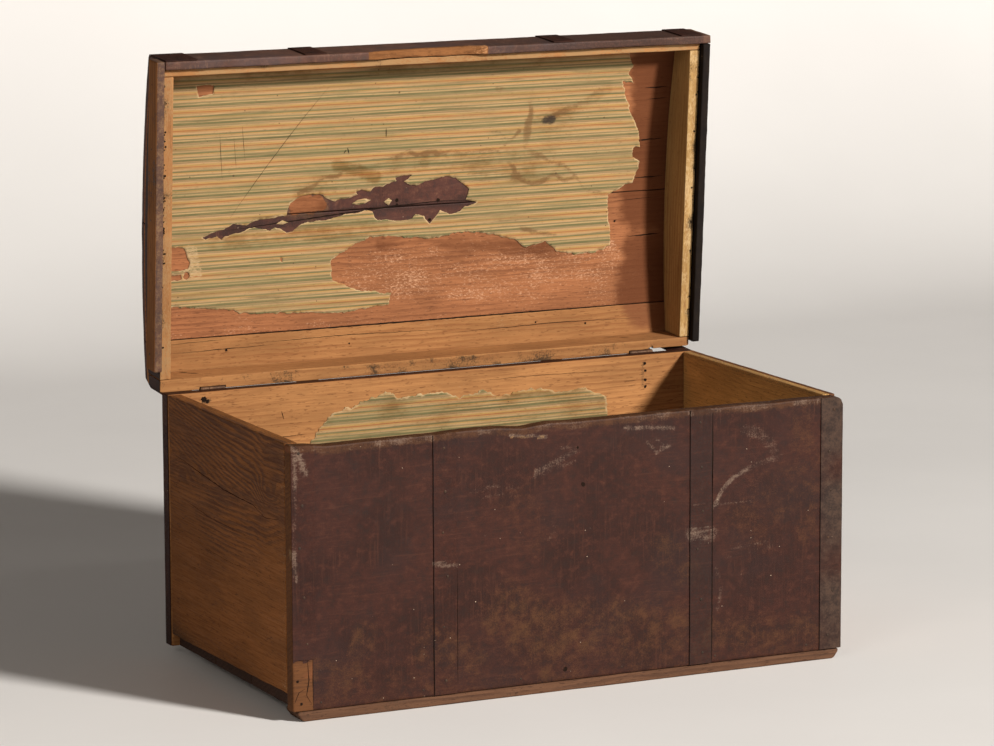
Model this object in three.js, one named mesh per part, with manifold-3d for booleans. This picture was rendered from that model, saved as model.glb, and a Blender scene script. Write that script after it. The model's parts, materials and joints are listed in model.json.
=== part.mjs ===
// Sea chest of nailed pine boards, with its shallow domed lid standing open.
// Millimetres, +Z up, the front faces -Y. The origin is on the floor, under the middle of the whole.
import * as THREE from "three";
import { mergeVertices } from "three/addons/utils/BufferGeometryUtils.js";
import Module from "manifold-3d";

const wasm = await Module();
wasm.setup();

// Body: five boards' sizes
const bodyLength = 920; // along X, over the front board
const bodyDepth = 496; // from the front board's face to the back board's face
const bodyHeight = 412; // top edge above the floor
const boardThickness = 22;
const bottomThickness = 18;
const bottomEndInset = 12; // bottom boards stop short of the sides' outer faces
const bottomCrack = 1; // shrinkage crack between two bottom boards
const bottomWidthShares = [0.36, 0.31, 0.33]; // front, middle and rear bottom board
const wornCornerRadius = 12; // the front board's upper right corner is rubbed round
const arrisEase = 1.5; // every board edge is broken by this much

// Runners under the front and back boards
const runnerHeight = 16;
const runnerWidth = 45;
const runnerInset = 1.5; // its face stands this far behind the board's face
const frontRunnerLeftInset = 9;
const frontRunnerRightInset = 2;
const backRunnerInset = 60; // at both ends, out of sight
const runnerEndBevel = 10;
const runnerBevelShare = 0.6; // how much of its height the end bevel takes

// Iron straps
const strapWidth = 38;
const strapThickness = 1.6;
const strapEase = 0.4;
const innerStrapInset = 246; // from the body's end to the centre of an inner strap
const brokenStrapLoss = 78; // length broken off the foot of the left corner strap
const brokenStrapRag = 7; // how ragged that break is
const strapEndInset = 1; // straps stop this far from the edge they run to
const strapFlange = 24; // how far a corner strap is bent round the corner
const lidLeftCornerStrapWidth = 54;
const lidRightCornerStrapWidth = 40;
const lidStrapBackEnd = 34; // height over the rim at which the lid straps stop on the back

// Clearances
const jointGap = 0.3; // between two pieces that are nailed together
const lidSeatGap = 0.6; // between the body's top edge and the closed lid's rim
const lipClearance = 1; // between the lid's lips and what they reach over

// Lid frame, lips and dome; heights are above the hinge axis with the lid closed
const openAngleDegrees = 86;
const lidFrontThickness = 11;
const lidSideThickness = 18;
const lidBackThickness = 19.5;
const lidBackOverhang = 4.5; // the lid's back board stands this far out over the body's back
const lipThickness = 14;
const lipDrop = 10; // how far the lips hang below the rim
const sideLipHeight = 25; // top of a side lip
const leftLipStart = 34; // from the hinge axis to a side lip's back end
const rightLipStart = 12;
const lipEndBevel = 7;
const domeEdgeHeight = 60;
const domeRise = 22;
const topThickness = 11;
const topCrack = 1; // crack between two top boards
const rearTopReach = 67; // from the hinge axis to the first crack
const middleTopReach = 252; // from the hinge axis to the second crack
const backBevelHeight = 43; // where the bevel on the lid's back corner starts
const backBevelRun = 9;
const chipInset = 339; // from the body's left end to a stretch of the front lip that is broken out
const chipLength = 198;
const chipDepth = 8;

// Hinges: strap hinges on the back, with shoulders that stop the lid when it is open
const hingeInset = 85; // from the body's end to the centre of a hinge
const hingeAxisOut = 4; // hinge axis behind the back board's face
const leafThickness = 2.4;
const leafWidth = 38;
const leafFootWidth = 22;
const bodyLeafLength = 116;
const lidLeafLength = 44;
const leafCornerRadius = 6;
const leafStraightLength = 14; // from the hinge axis to where the long leaf starts to narrow
const barrelRadius = 3.7;
const pinRadius = 2;
const pinClearance = 0.1;
const pinHeadRadius = 3.4;
const pinHeadThickness = 1.6;
const knuckleWidth = 14; // the lid's knuckle, in the middle of the leaf
const knuckleGap = 0.4;
const barrelClearance = 0.9; // between a barrel and the other leaf's plate
const shoulderInner = 5.2; // the stop shoulders' reach from the hinge axis
const shoulderOuter = 12;
const shoulderFoot = 17;
const stopGap = 0.3; // between the two shoulders with the lid open
const housingClearance = 1.1; // round a lid leaf that is let into the lid's back board

// Facets
const domeSteps = 24;
const roundSteps = 20;
const weldDistance = 1e-4;
const cutOverrun = 5; // how far a cutting tool reaches past what it cuts
const sharpestMitreShare = 0.3;

// Derived places: the body
const halfLength = bodyLength / 2;
const frontFace = -bodyDepth / 2;
const backFace = bodyDepth / 2;
const innerHalfDepth = bodyDepth / 2 - boardThickness - jointGap;
const boardFoot = runnerHeight;
const innerStrapOffset = halfLength - innerStrapInset;
const hingeOffset = halfLength - hingeInset;
const sideFoot = boardFoot + bottomThickness + jointGap;

// Derived places: the lid, as distances from the hinge axis towards the front
const openAngle = THREE.MathUtils.degToRad(openAngleDegrees);
const strapReach = jointGap + strapThickness;
const lidHalfLength = halfLength + strapReach + lipClearance;
const lidFrontFace = hingeAxisOut + bodyDepth + strapReach + lipClearance;
const lipInner = lidFrontFace + jointGap;
const lipOuter = lipInner + lipThickness;
const lidBackFace = hingeAxisOut - lidBackOverhang;
const domeCentreReach = (lipOuter + lidBackFace) / 2;
const domeHalfSpan = (lipOuter - lidBackFace) / 2;
const domeRadius = (domeHalfSpan ** 2 + domeRise ** 2) / (2 * domeRise);
const domeCentreHeight = domeEdgeHeight + domeRise - domeRadius;
const undersideDepth = topThickness + jointGap;

// Materials
const oxblood = finish(0x3c1f1c, 0.72, 0);
const agedPine = finish(0x8a5527, 0.75, 0);
const darkPine = finish(0x4b2f1d, 0.8, 0);
const palePine = finish(0xa97c4f, 0.8, 0);
const lidPine = finish(0x9c6a3c, 0.75, 0);
const bluePaint = finish(0x2c2730, 0.7, 0);
const paintedIron = finish(0x3a2220, 0.65, 0.2);
const bareIron = finish(0x2e2a28, 0.6, 0.8);

function finish(color, roughness, metalness) {
  return new THREE.MeshStandardMaterial({ color, roughness, metalness });
}

function point(x, y) {
  return new THREE.Vector2(x, y);
}

// A slab of an outline, with its edges broken.
// Along x the outline is (y, z), along y it is (x, z) and along z it is (x, y).
function slab(outline, axis, from, to, ease) {
  const shape = outline instanceof THREE.Shape ? outline : new THREE.Shape(outline);
  const thickness = to - from;
  const geometry = new THREE.ExtrudeGeometry(shape, {
    depth: thickness - 2 * ease,
    bevelEnabled: ease > 0,
    bevelThickness: ease,
    bevelSize: ease,
    bevelOffset: -ease,
    bevelSegments: 1,
    curveSegments: roundSteps / 2,
  });
  geometry.translate(0, 0, ease);
  const x = new THREE.Vector3(1, 0, 0);
  const y = new THREE.Vector3(0, 1, 0);
  const z = new THREE.Vector3(0, 0, 1);
  const turn = new THREE.Matrix4();
  if (axis === "x") {
    geometry.applyMatrix4(turn.makeBasis(y, z, x));
    return geometry.translate(from, 0, 0);
  }
  if (axis === "y") {
    geometry.applyMatrix4(turn.makeBasis(x, z, y.negate()));
    return geometry.translate(0, to, 0);
  }
  return geometry.translate(0, 0, from);
}

function rectangle(left, bottom, right, top) {
  return [point(left, bottom), point(right, bottom), point(right, top), point(left, top)];
}

// A rectangle with its upper right corner rubbed round
function rubbedRectangle(left, bottom, right, top, radius) {
  const outline = new THREE.Shape();
  outline.moveTo(left, bottom);
  outline.lineTo(right, bottom);
  outline.lineTo(right, top - radius);
  outline.absarc(right - radius, top - radius, radius, 0, Math.PI / 2, false);
  outline.lineTo(left, top);
  return outline;
}

function mesh(name, geometry, material) {
  const made = new THREE.Mesh(geometry, material);
  made.name = name;
  return made;
}

// Solids for cuts and joins
function toSolid(geometry) {
  const bare = geometry.index ? geometry.toNonIndexed() : geometry.clone();
  bare.deleteAttribute("normal");
  bare.deleteAttribute("uv");
  const merged = mergeVertices(bare, weldDistance);
  return new wasm.Manifold(
    new wasm.Mesh({
      numProp: 3,
      vertProperties: merged.attributes.position.array,
      triVerts: new Uint32Array(merged.index.array),
    }),
  );
}

function toGeometry(solid) {
  const made = solid.getMesh();
  const geometry = new THREE.BufferGeometry();
  geometry.setAttribute("position", new THREE.BufferAttribute(made.vertProperties, 3));
  geometry.setIndex(new THREE.BufferAttribute(made.triVerts, 1));
  const flat = geometry.toNonIndexed();
  flat.computeVertexNormals();
  return flat;
}

// Body boards
function bodyBoards() {
  const frontOutline = rubbedRectangle(-halfLength, boardFoot, halfLength, bodyHeight, wornCornerRadius);
  const backOutline = rectangle(-halfLength, boardFoot, halfLength, bodyHeight);
  const sideOutline = rectangle(-innerHalfDepth, sideFoot, innerHalfDepth, bodyHeight);
  const leftSide = slab(sideOutline, "x", -halfLength, -halfLength + boardThickness, arrisEase);
  const rightSide = slab(sideOutline, "x", halfLength - boardThickness, halfLength, arrisEase);
  return [
    mesh("front_board", slab(frontOutline, "y", frontFace, frontFace + boardThickness, arrisEase), oxblood),
    mesh("back_board", slab(backOutline, "y", backFace - boardThickness, backFace, arrisEase), darkPine),
    mesh("left_side_board", leftSide, agedPine),
    mesh("right_side_board", rightSide, agedPine),
  ];
}

function bottomBoards() {
  const names = ["front", "middle", "rear"];
  const room = 2 * innerHalfDepth - 2 * bottomCrack;
  const end = halfLength - bottomEndInset;
  let start = -innerHalfDepth;
  return names.map((name, index) => {
    const width = room * bottomWidthShares[index];
    const outline = rectangle(start, boardFoot, start + width, boardFoot + bottomThickness);
    start += width + bottomCrack;
    return mesh("bottom_board_" + name, slab(outline, "x", -end, end, arrisEase), palePine);
  });
}

function runner(name, from, leftInset, rightInset) {
  const left = -halfLength + leftInset;
  const right = halfLength - rightInset;
  const top = runnerHeight - jointGap;
  const outline = [
    point(left + runnerEndBevel, 0),
    point(right - runnerEndBevel, 0),
    point(right, top * runnerBevelShare),
    point(right, top),
    point(left, top),
    point(left, top * runnerBevelShare),
  ];
  return mesh(name, slab(outline, "y", from, from + runnerWidth, arrisEase), palePine);
}

// Body straps, as (name ending, left edge)
const strapLefts = [
  ["left_corner", -halfLength],
  ["left", -innerStrapOffset - strapWidth / 2],
  ["right", innerStrapOffset - strapWidth / 2],
  ["right_corner", halfLength - strapWidth],
];

// Outline of the left corner strap, broken off short in a ragged line
function brokenStrapOutline(left) {
  const right = left + strapWidth;
  const foot = boardFoot + brokenStrapLoss;
  const breakShares = [
    [0, 0.1],
    [0.12, -0.25],
    [0.3, -0.55],
    [0.42, -0.15],
    [0.62, -0.4],
    [0.8, 0.3],
    [1, 0.75],
  ];
  const broken = breakShares.map(([across, up]) =>
    point(left + across * strapWidth, foot + up * brokenStrapRag),
  );
  return [...broken, point(right, bodyHeight - strapEndInset), point(left, bodyHeight - strapEndInset)];
}

const strapFoot = boardFoot + strapEndInset;
const strapTop = bodyHeight - strapEndInset;

// The part of a corner strap that is bent round onto the side; facing is -1 at the front and 1 at the back
function strapFlangeSolid(side, facing, top) {
  const face = facing * (bodyDepth / 2 + strapReach);
  const far = face - facing * strapFlange;
  const outline = rectangle(Math.min(face, far), strapFoot, Math.max(face, far), top);
  const inner = side * (halfLength + jointGap);
  const outer = side * (halfLength + strapReach);
  return toSolid(slab(outline, "x", Math.min(inner, outer), Math.max(inner, outer), strapEase));
}

function frontStrap([ending, left]) {
  const right = left + strapWidth;
  const outer = frontFace - strapReach;
  const inner = frontFace - jointGap;
  let geometry = slab(rectangle(left, strapFoot, right, strapTop), "y", outer, inner, strapEase);
  if (ending === "left_corner") geometry = slab(brokenStrapOutline(left), "y", outer, inner, strapEase);
  if (ending === "right_corner") {
    const outline = rubbedRectangle(left, strapFoot, halfLength + strapReach, strapTop, wornCornerRadius);
    const plate = toSolid(slab(outline, "y", outer, inner, strapEase));
    geometry = toGeometry(plate.add(strapFlangeSolid(1, -1, strapTop - wornCornerRadius)));
  }
  return mesh("front_strap_" + ending, geometry, paintedIron);
}

function backStrap([ending, left]) {
  const side = Math.sign(left + strapWidth / 2);
  const corner = ending.endsWith("corner");
  const reach = corner ? strapReach : 0;
  const start = side < 0 ? left - reach : left;
  const end = side < 0 ? left + strapWidth : left + strapWidth + reach;
  const inner = backFace + jointGap;
  const outer = inner + strapThickness;
  const plate = slab(rectangle(start, strapFoot, end, strapTop), "y", inner, outer, strapEase);
  const geometry = corner ? toGeometry(toSolid(plate).add(strapFlangeSolid(side, 1, strapTop))) : plate;
  return mesh("back_strap_" + ending, geometry, paintedIron);
}

// Height of the dome over the hinge axis at a reach from it; below gives a surface inside the dome
function domeHeight(reach, below) {
  const radius = domeRadius - below;
  return domeCentreHeight + Math.sqrt(radius ** 2 - (reach - domeCentreReach) ** 2);
}

// Points of a dome surface between two reaches, as (y, z) from the hinge axis
function domePoints(start, end, below) {
  const steps = Math.max(2, Math.ceil((domeSteps * Math.abs(end - start)) / (2 * domeHalfSpan)));
  return Array.from({ length: steps + 1 }, (_, step) => {
    const reach = start + ((end - start) * step) / steps;
    return point(-reach, domeHeight(reach, below));
  });
}

// The bevel on the lid's back corner: its reach at a height
const bevelTopReach = lidBackFace + backBevelRun;
const bevelTopHeight = domeHeight(bevelTopReach, 0);
const bevelMidHeight = domeHeight(lidBackFace, topThickness);

function bevelReach(height) {
  const share = (height - backBevelHeight) / (bevelTopHeight - backBevelHeight);
  return lidBackFace + backBevelRun * share;
}

function topBoard(name, start, end) {
  const outer = domePoints(start.outer, end, 0);
  const inner = domePoints(end, start.inner, topThickness);
  const geometry = slab([...outer, ...inner], "x", -lidHalfLength, lidHalfLength, arrisEase);
  return mesh(name, geometry, lidPine);
}

// The hollows in the lid's back board that the lid's hinge leaves are let into
function hingeHousings() {
  const half = leafWidth / 2 + jointGap + pinHeadThickness + housingClearance;
  const top = lidLeafLength + housingClearance;
  return [-hingeOffset, hingeOffset].map((place) => {
    const outline = rectangle(place - half, -cutOverrun, place + half, top);
    return toSolid(slab(outline, "y", -hingeAxisOut, cutOverrun - lidBackFace, 0));
  });
}

function lidFrame() {
  const sideStart = lidBackFace + lidBackThickness + jointGap;
  const sideEnd = lidFrontFace - lidFrontThickness - jointGap;
  const sideOutline = [
    point(-sideStart, lidSeatGap),
    ...domePoints(sideStart, sideEnd, undersideDepth),
    point(-sideEnd, lidSeatGap),
  ];
  const backInner = lidBackFace + lidBackThickness;
  const backOutline = [
    point(-lidBackFace, lidSeatGap),
    point(-lidBackFace, backBevelHeight),
    point(-bevelReach(bevelMidHeight), bevelMidHeight - jointGap),
    point(-backInner, domeHeight(backInner, undersideDepth)),
    point(-backInner, lidSeatGap),
  ];
  const frontInner = lidFrontFace - lidFrontThickness;
  const frontOutline = [
    point(-frontInner, lidSeatGap),
    ...domePoints(frontInner, lidFrontFace, undersideDepth),
    point(-lidFrontFace, lidSeatGap),
  ];
  const back = hingeHousings().reduce(
    (solid, housing) => solid.subtract(housing),
    toSolid(slab(backOutline, "x", -lidHalfLength, lidHalfLength, arrisEase)),
  );
  const left = slab(sideOutline, "x", -lidHalfLength, -lidHalfLength + lidSideThickness, arrisEase);
  const right = slab(sideOutline, "x", lidHalfLength - lidSideThickness, lidHalfLength, arrisEase);
  return [
    mesh("lid_front_board", slab(frontOutline, "x", -lidHalfLength, lidHalfLength, arrisEase), lidPine),
    mesh("lid_back_board", toGeometry(back), lidPine),
    mesh("lid_left_side_board", left, lidPine),
    mesh("lid_right_side_board", right, lidPine),
  ];
}

function lidTop() {
  const halfCrack = topCrack / 2;
  const rear = { outer: bevelTopReach, inner: bevelReach(bevelMidHeight) };
  const middle = { outer: rearTopReach + halfCrack, inner: rearTopReach + halfCrack };
  const front = { outer: middleTopReach + halfCrack, inner: middleTopReach + halfCrack };
  return [
    topBoard("lid_top_board_rear", rear, rearTopReach - halfCrack),
    topBoard("lid_top_board_middle", middle, middleTopReach - halfCrack),
    topBoard("lid_top_board_front", front, lidFrontFace),
  ];
}

// The front lip, with a stretch of its lower edge broken out
function frontLip() {
  const right = lidHalfLength + jointGap + lipThickness;
  const outline = [
    point(-lipInner, -lipDrop),
    ...domePoints(lipInner, lipOuter, 0),
    point(-lipOuter, -lipDrop),
  ];
  const whole = slab(outline, "x", -lidHalfLength, right, arrisEase);
  const chipStart = chipInset - halfLength;
  const raggedShares = [
    [0, -1],
    [0.02, 0.35],
    [0.1, 0.6],
    [0.22, 0.5],
    [0.34, 0.85],
    [0.5, 1],
    [0.63, 0.7],
    [0.76, 0.9],
    [0.9, 0.55],
    [0.96, 0.2],
    [1, -1],
  ];
  const cut = raggedShares.map(([along, up]) =>
    point(chipStart + along * chipLength, up * chipDepth - lipDrop),
  );
  const cutter = slab(cut, "y", -lipOuter - lipThickness, -lipInner + jointGap / 2, 0);
  return mesh("lid_front_lip", toGeometry(toSolid(whole).subtract(toSolid(cutter))), bluePaint);
}

function sideLip(name, side, start, end) {
  const inner = side * (lidHalfLength + jointGap);
  const outer = inner + side * lipThickness;
  const outline = [
    point(inner, -start),
    point(outer, -start - lipEndBevel),
    point(outer, -end),
    point(inner, -end),
  ];
  return mesh(name, slab(outline, "z", -lipDrop, sideLipHeight, arrisEase), bluePaint);
}

// A path moved sideways by a distance, to its left as it runs
function offsetPath(path, distance) {
  return path.map((place, index) => {
    const before = path[Math.max(index - 1, 0)];
    const after = path[Math.min(index + 1, path.length - 1)];
    const arriving = place.clone().sub(before).normalize();
    const leaving = after.clone().sub(place).normalize();
    const first = index === 0 ? leaving : arriving;
    const second = index === path.length - 1 ? arriving : leaving;
    const mitre = first.clone().add(second).normalize();
    const widening = distance / Math.max(mitre.dot(first), sharpestMitreShare);
    return point(place.x - mitre.y * widening, place.y + mitre.x * widening);
  });
}

// A strap bent over the lid: up the front lip, over the dome and down the back board
function lidStrap(ending, left, width) {
  const path = [
    point(-lidBackFace, lidStrapBackEnd),
    point(-lidBackFace, backBevelHeight),
    ...domePoints(bevelTopReach, lipOuter, 0),
    point(-lipOuter, -lipDrop + strapEndInset),
  ];
  const inner = offsetPath(path, -jointGap);
  const outer = offsetPath(path, -strapReach);
  const outline = [...inner, ...outer.reverse()];
  const geometry = slab(outline, "x", left, left + width, strapEase);
  return mesh("lid_strap_" + ending, geometry, paintedIron);
}

// Hinges. Profiles are (y, z) from the hinge axis with the lid closed.
// The sign upwards is 1 for the lid's leaf and -1 for the body's.
const leafNear = barrelRadius + barrelClearance;
const leafInner = -hingeAxisOut + jointGap;

function knuckle(from, to, upwards) {
  const ring = new THREE.Shape();
  ring.absarc(0, 0, barrelRadius, 0, 2 * Math.PI, false);
  const bore = new THREE.Path();
  bore.absarc(0, 0, pinRadius + pinClearance, 0, 2 * Math.PI, true);
  ring.holes.push(bore);
  const barrel = toSolid(slab(ring, "x", from, to, 0));
  const tabEnd = upwards * (leafNear + barrelClearance);
  const tab = rectangle(leafInner, Math.min(0, tabEnd), leafInner + leafThickness, Math.max(0, tabEnd));
  const tabSolid = toSolid(slab(tab, "x", from, to, 0));
  const hole = new THREE.Shape();
  hole.absarc(0, 0, pinRadius + pinClearance, 0, 2 * Math.PI, false);
  return barrel.add(tabSolid).subtract(toSolid(slab(hole, "x", from - cutOverrun, to + cutOverrun, 0)));
}

// The body's leaf: straight sides by the barrel, then drawn in to a rounded foot, pointing down
function longLeafOutline() {
  const half = leafWidth / 2;
  const footRadius = leafFootWidth / 2;
  const outline = new THREE.Shape();
  outline.moveTo(-half, -leafNear);
  outline.lineTo(-half, -leafStraightLength);
  outline.lineTo(-footRadius, footRadius - bodyLeafLength);
  outline.absarc(0, footRadius - bodyLeafLength, footRadius, Math.PI, 2 * Math.PI, false);
  outline.lineTo(half, -leafStraightLength);
  outline.lineTo(half, -leafNear);
  return outline;
}

// The lid's leaf: a short plate with two rounded corners, pointing up
function shortLeafOutline() {
  const half = leafWidth / 2;
  const corner = half - leafCornerRadius;
  const turn = lidLeafLength - leafCornerRadius;
  const outline = new THREE.Shape();
  outline.moveTo(-half, leafNear);
  outline.lineTo(half, leafNear);
  outline.lineTo(half, turn);
  outline.absarc(corner, turn, leafCornerRadius, 0, Math.PI / 2, false);
  outline.absarc(-corner, turn, leafCornerRadius, Math.PI / 2, Math.PI, false);
  return outline;
}

// The stop shoulder: its face lies on the plane where the two leaves' shoulders meet with the lid open
function stopShoulder(upwards) {
  const facing = (Math.PI - openAngle) / 2;
  const turn = (Math.PI / 2 - facing) * upwards;
  const along = point(Math.cos(turn), Math.sin(turn));
  const away = point(-Math.sin(turn), Math.cos(turn)).multiplyScalar((upwards * stopGap) / 2);
  const surface = leafInner + leafThickness / 2;
  const outline = [
    point(surface, upwards * (leafNear + barrelClearance)),
    point(surface, upwards * shoulderFoot),
    along.clone().multiplyScalar(shoulderOuter).add(away),
    along.clone().multiplyScalar(shoulderInner).add(away),
  ];
  return toSolid(slab(outline, "x", -leafWidth / 2, leafWidth / 2, 0));
}

function hingeLeaf(name, upwards) {
  const half = leafWidth / 2;
  const middle = knuckleWidth / 2;
  const outline = upwards > 0 ? shortLeafOutline() : longLeafOutline();
  const plate = toSolid(slab(outline, "y", leafInner, leafInner + leafThickness, 0));
  let solid = plate.add(stopShoulder(upwards));
  if (upwards > 0) {
    solid = solid.add(knuckle(-middle, middle, upwards));
  } else {
    solid = solid.add(knuckle(-half, -middle - knuckleGap, upwards));
    solid = solid.add(knuckle(middle + knuckleGap, half, upwards));
  }
  return mesh(name, toGeometry(solid), bareIron);
}

function hingePin(name) {
  const half = leafWidth / 2;
  const profile = [
    point(0, -half - pinHeadThickness - jointGap),
    point(pinHeadRadius, -half - pinHeadThickness - jointGap),
    point(pinHeadRadius, -half - jointGap),
    point(pinRadius, -half - jointGap),
    point(pinRadius, half + pinHeadThickness),
    point(0, half + pinHeadThickness),
  ];
  const geometry = new THREE.LatheGeometry(profile, roundSteps);
  geometry.rotateZ(-Math.PI / 2);
  return mesh(name, geometry, bareIron);
}

// Assembly
const body = new THREE.Group();
body.add(...bodyBoards(), ...bottomBoards());
const frontRunnerFace = frontFace + runnerInset;
const backRunnerFace = backFace - runnerInset - runnerWidth;
body.add(runner("front_runner", frontRunnerFace, frontRunnerLeftInset, frontRunnerRightInset));
body.add(runner("back_runner", backRunnerFace, backRunnerInset, backRunnerInset));
body.add(...strapLefts.map(frontStrap), ...strapLefts.map(backStrap));

const lid = new THREE.Group();
lid.position.set(0, backFace + hingeAxisOut, bodyHeight);
lid.rotation.x = -openAngle;
lid.add(...lidFrame(), ...lidTop(), frontLip());
lid.add(sideLip("lid_left_lip", -1, leftLipStart, lipOuter));
lid.add(sideLip("lid_right_lip", 1, rightLipStart, lidFrontFace));
lid.add(lidStrap("left_corner", -lidHalfLength, lidLeftCornerStrapWidth));
lid.add(lidStrap("left", -innerStrapOffset - strapWidth / 2, strapWidth));
lid.add(lidStrap("right", innerStrapOffset - strapWidth / 2, strapWidth));
lid.add(lidStrap("right_corner", lidHalfLength - lidRightCornerStrapWidth, lidRightCornerStrapWidth));

for (const [side, place] of [
  ["left", -hingeOffset],
  ["right", hingeOffset],
]) {
  const fixed = new THREE.Group();
  fixed.position.set(place, backFace + hingeAxisOut, bodyHeight);
  fixed.add(hingeLeaf("hinge_body_leaf_" + side, -1), hingePin("hinge_pin_" + side));
  body.add(fixed);
  const moving = new THREE.Group();
  moving.position.x = place;
  moving.add(hingeLeaf("hinge_lid_leaf_" + side, 1));
  lid.add(moving);
}

const chest = new THREE.Group();
chest.add(body, lid);

// The origin goes under the middle of the whole, on the floor
chest.updateMatrixWorld(true);
const extent = new THREE.Box3().setFromObject(chest, true);
const middle = extent.getCenter(new THREE.Vector3());
chest.position.set(-middle.x, -middle.y, 0);

export default chest;
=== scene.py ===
import json
import math

import bpy
import numpy as np
from bpy.props import FloatProperty, FloatVectorProperty, IntProperty, PointerProperty
from mathutils import Matrix, Vector
from mathutils.geometry import delaunay_2d_cdt


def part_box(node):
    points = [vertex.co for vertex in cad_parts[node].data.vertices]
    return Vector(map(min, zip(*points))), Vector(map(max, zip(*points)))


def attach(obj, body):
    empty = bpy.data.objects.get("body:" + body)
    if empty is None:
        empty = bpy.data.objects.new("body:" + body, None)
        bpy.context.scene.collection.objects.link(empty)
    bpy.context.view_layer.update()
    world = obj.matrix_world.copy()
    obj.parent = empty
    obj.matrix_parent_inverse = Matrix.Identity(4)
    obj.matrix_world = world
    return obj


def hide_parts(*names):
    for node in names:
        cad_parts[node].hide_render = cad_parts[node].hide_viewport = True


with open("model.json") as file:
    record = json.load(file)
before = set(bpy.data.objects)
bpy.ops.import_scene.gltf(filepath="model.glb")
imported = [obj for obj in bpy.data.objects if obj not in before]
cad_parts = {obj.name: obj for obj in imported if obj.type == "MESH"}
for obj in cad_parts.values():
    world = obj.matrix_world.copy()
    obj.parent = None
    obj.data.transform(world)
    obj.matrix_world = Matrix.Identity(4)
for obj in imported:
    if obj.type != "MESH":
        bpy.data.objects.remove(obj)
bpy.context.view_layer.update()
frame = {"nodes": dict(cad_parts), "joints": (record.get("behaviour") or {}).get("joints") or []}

bl_info = {
    "name": "Sea chest",
    "version": (1, 0, 0),
    "blender": (4, 5, 0),
    "location": "View3D > Sidebar > Chest",
    "description": "Builds the looks of a worn pine sea chest with striped paper in its lid",
    "category": "Object",
}

# Where things are, in metres

MM = 0.001
JOINT = frame["joints"][0]
HINGE_Y, HINGE_Z = JOINT["pos_m"][1:]
OPEN_ANGLE = math.radians(JOINT["range_deg"][1])
OPEN_COS, OPEN_SIN = math.cos(OPEN_ANGLE), math.sin(OPEN_ANGLE)
BOARD = 22 * MM


def columns(*values):
    """Numbers side by side: one row for each point."""
    return np.stack(np.broadcast_arrays(*values), axis=1)


def box(node):
    """The low and the high corner of a node's box."""
    return np.array(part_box(node))


FRONT_FACE = box("front_board")[0][1]
HALF_LENGTH, _, BODY_TOP = box("front_board")[1]
BACK_INNER, BACK_FACE = box("back_board")[:, 1]
BODY_MIDDLE = (FRONT_FACE + BACK_FACE) / 2


def to_row(points):
    """Places in the lid, as (along, reach from the hinge axis, height over the rim), to the row frame."""
    along, reach, height = np.asarray(points, float).T
    return columns(along, HINGE_Y - reach * OPEN_COS + height * OPEN_SIN,
                   HINGE_Z + reach * OPEN_SIN + height * OPEN_COS)


def cad_points(node):
    vertices = frame["nodes"][node].data.vertices
    flat = np.zeros(len(vertices) * 3, np.float32)
    vertices.foreach_get("co", flat)
    return flat.reshape(-1, 3).astype(float)


def lid_limits(node):
    """The low and the high corner of a node in the lid's own directions."""
    along, y, z = cad_points(node).T
    y, z = y - HINGE_Y, z - HINGE_Z
    points = columns(along, -y * OPEN_COS + z * OPEN_SIN, y * OPEN_SIN + z * OPEN_COS)
    return points.min(0), points.max(0)


LIP_FACE = lid_limits("lid_front_lip")[1][1]
LID_BACK = lid_limits("lid_back_board")[0][1]
LID_BACK_INNER = lid_limits("lid_back_board")[1][1]
LID_BACK_MIDDLE = (LID_BACK + LID_BACK_INNER) / 2
LID_END, LID_FRONT, _ = lid_limits("lid_front_board")[1]
DOME_EDGE = 60 * MM
DOME_RISE = 22 * MM
DOME_MIDDLE = (LIP_FACE + LID_BACK) / 2
DOME_HALF = (LIP_FACE - LID_BACK) / 2
DOME_RADIUS = (DOME_HALF ** 2 + DOME_RISE ** 2) / (2 * DOME_RISE)
DOME_CENTRE = DOME_EDGE + DOME_RISE - DOME_RADIUS
TOP_THICKNESS = 11 * MM
UNDER_TOP = TOP_THICKNESS + 0.3 * MM
BEVEL_START = 43 * MM
BEVEL_RUN = 9 * MM
STRAP_SHEET = 1.2 * MM
STRAP_OFF = 0.3 * MM
PAPER_LIFT = 0.62 * MM


def dome(reach, below=0.0):
    """Height over the rim of the dome, or of a surface below it."""
    return DOME_CENTRE + np.sqrt((DOME_RADIUS - below) ** 2 - (reach - DOME_MIDDLE) ** 2)


BEVEL_TOP = dome(LID_BACK + BEVEL_RUN)


# Settings that a user would change


def length(name, description, default):
    return FloatProperty(name=name, description=description, default=default, min=0.0, unit="LENGTH")


def colour(name, description, default):
    return FloatVectorProperty(name=name, description=description, default=default, min=0.0, max=1.0,
                               subtype="COLOR")


class ChestSettings(bpy.types.PropertyGroup):
    edge_wear: length("Edge wear", "How far the boards' edges are rubbed round", 2.2 * MM)
    strap_wave: length("Strap wave", "How far the edges of an iron strap wander", 0.7 * MM)
    nail_radius: length("Nail head radius", "Radius of the heads of the nails in the straps", 3.0 * MM)
    paper_thickness: length("Paper thickness", "Thickness of the paper with its paste", 0.35 * MM)
    stripe_pitch: length("Stripe pitch", "Distance after which the paper's stripes repeat", 28.9 * MM)
    seed: IntProperty(name="Seed", description="Start of the random wear", default=7)
    paint: colour("Paint", "Oxblood paint of the front", (0.035, 0.0099, 0.0058))
    fresh_pine: colour("Pine", "Bare pine inside the chest", (0.37, 0.168, 0.06))
    aged_pine: colour("Aged pine", "Stained pine on the sides", (0.262, 0.096, 0.0255))
    paper: colour("Paper", "Ground colour of the striped paper", (0.275, 0.187, 0.09))
    iron: colour("Iron", "Bare iron of the hinges", (0.12, 0.06, 0.03))


def settings():
    return bpy.context.scene.sea_chest


# Noise and distances

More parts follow.
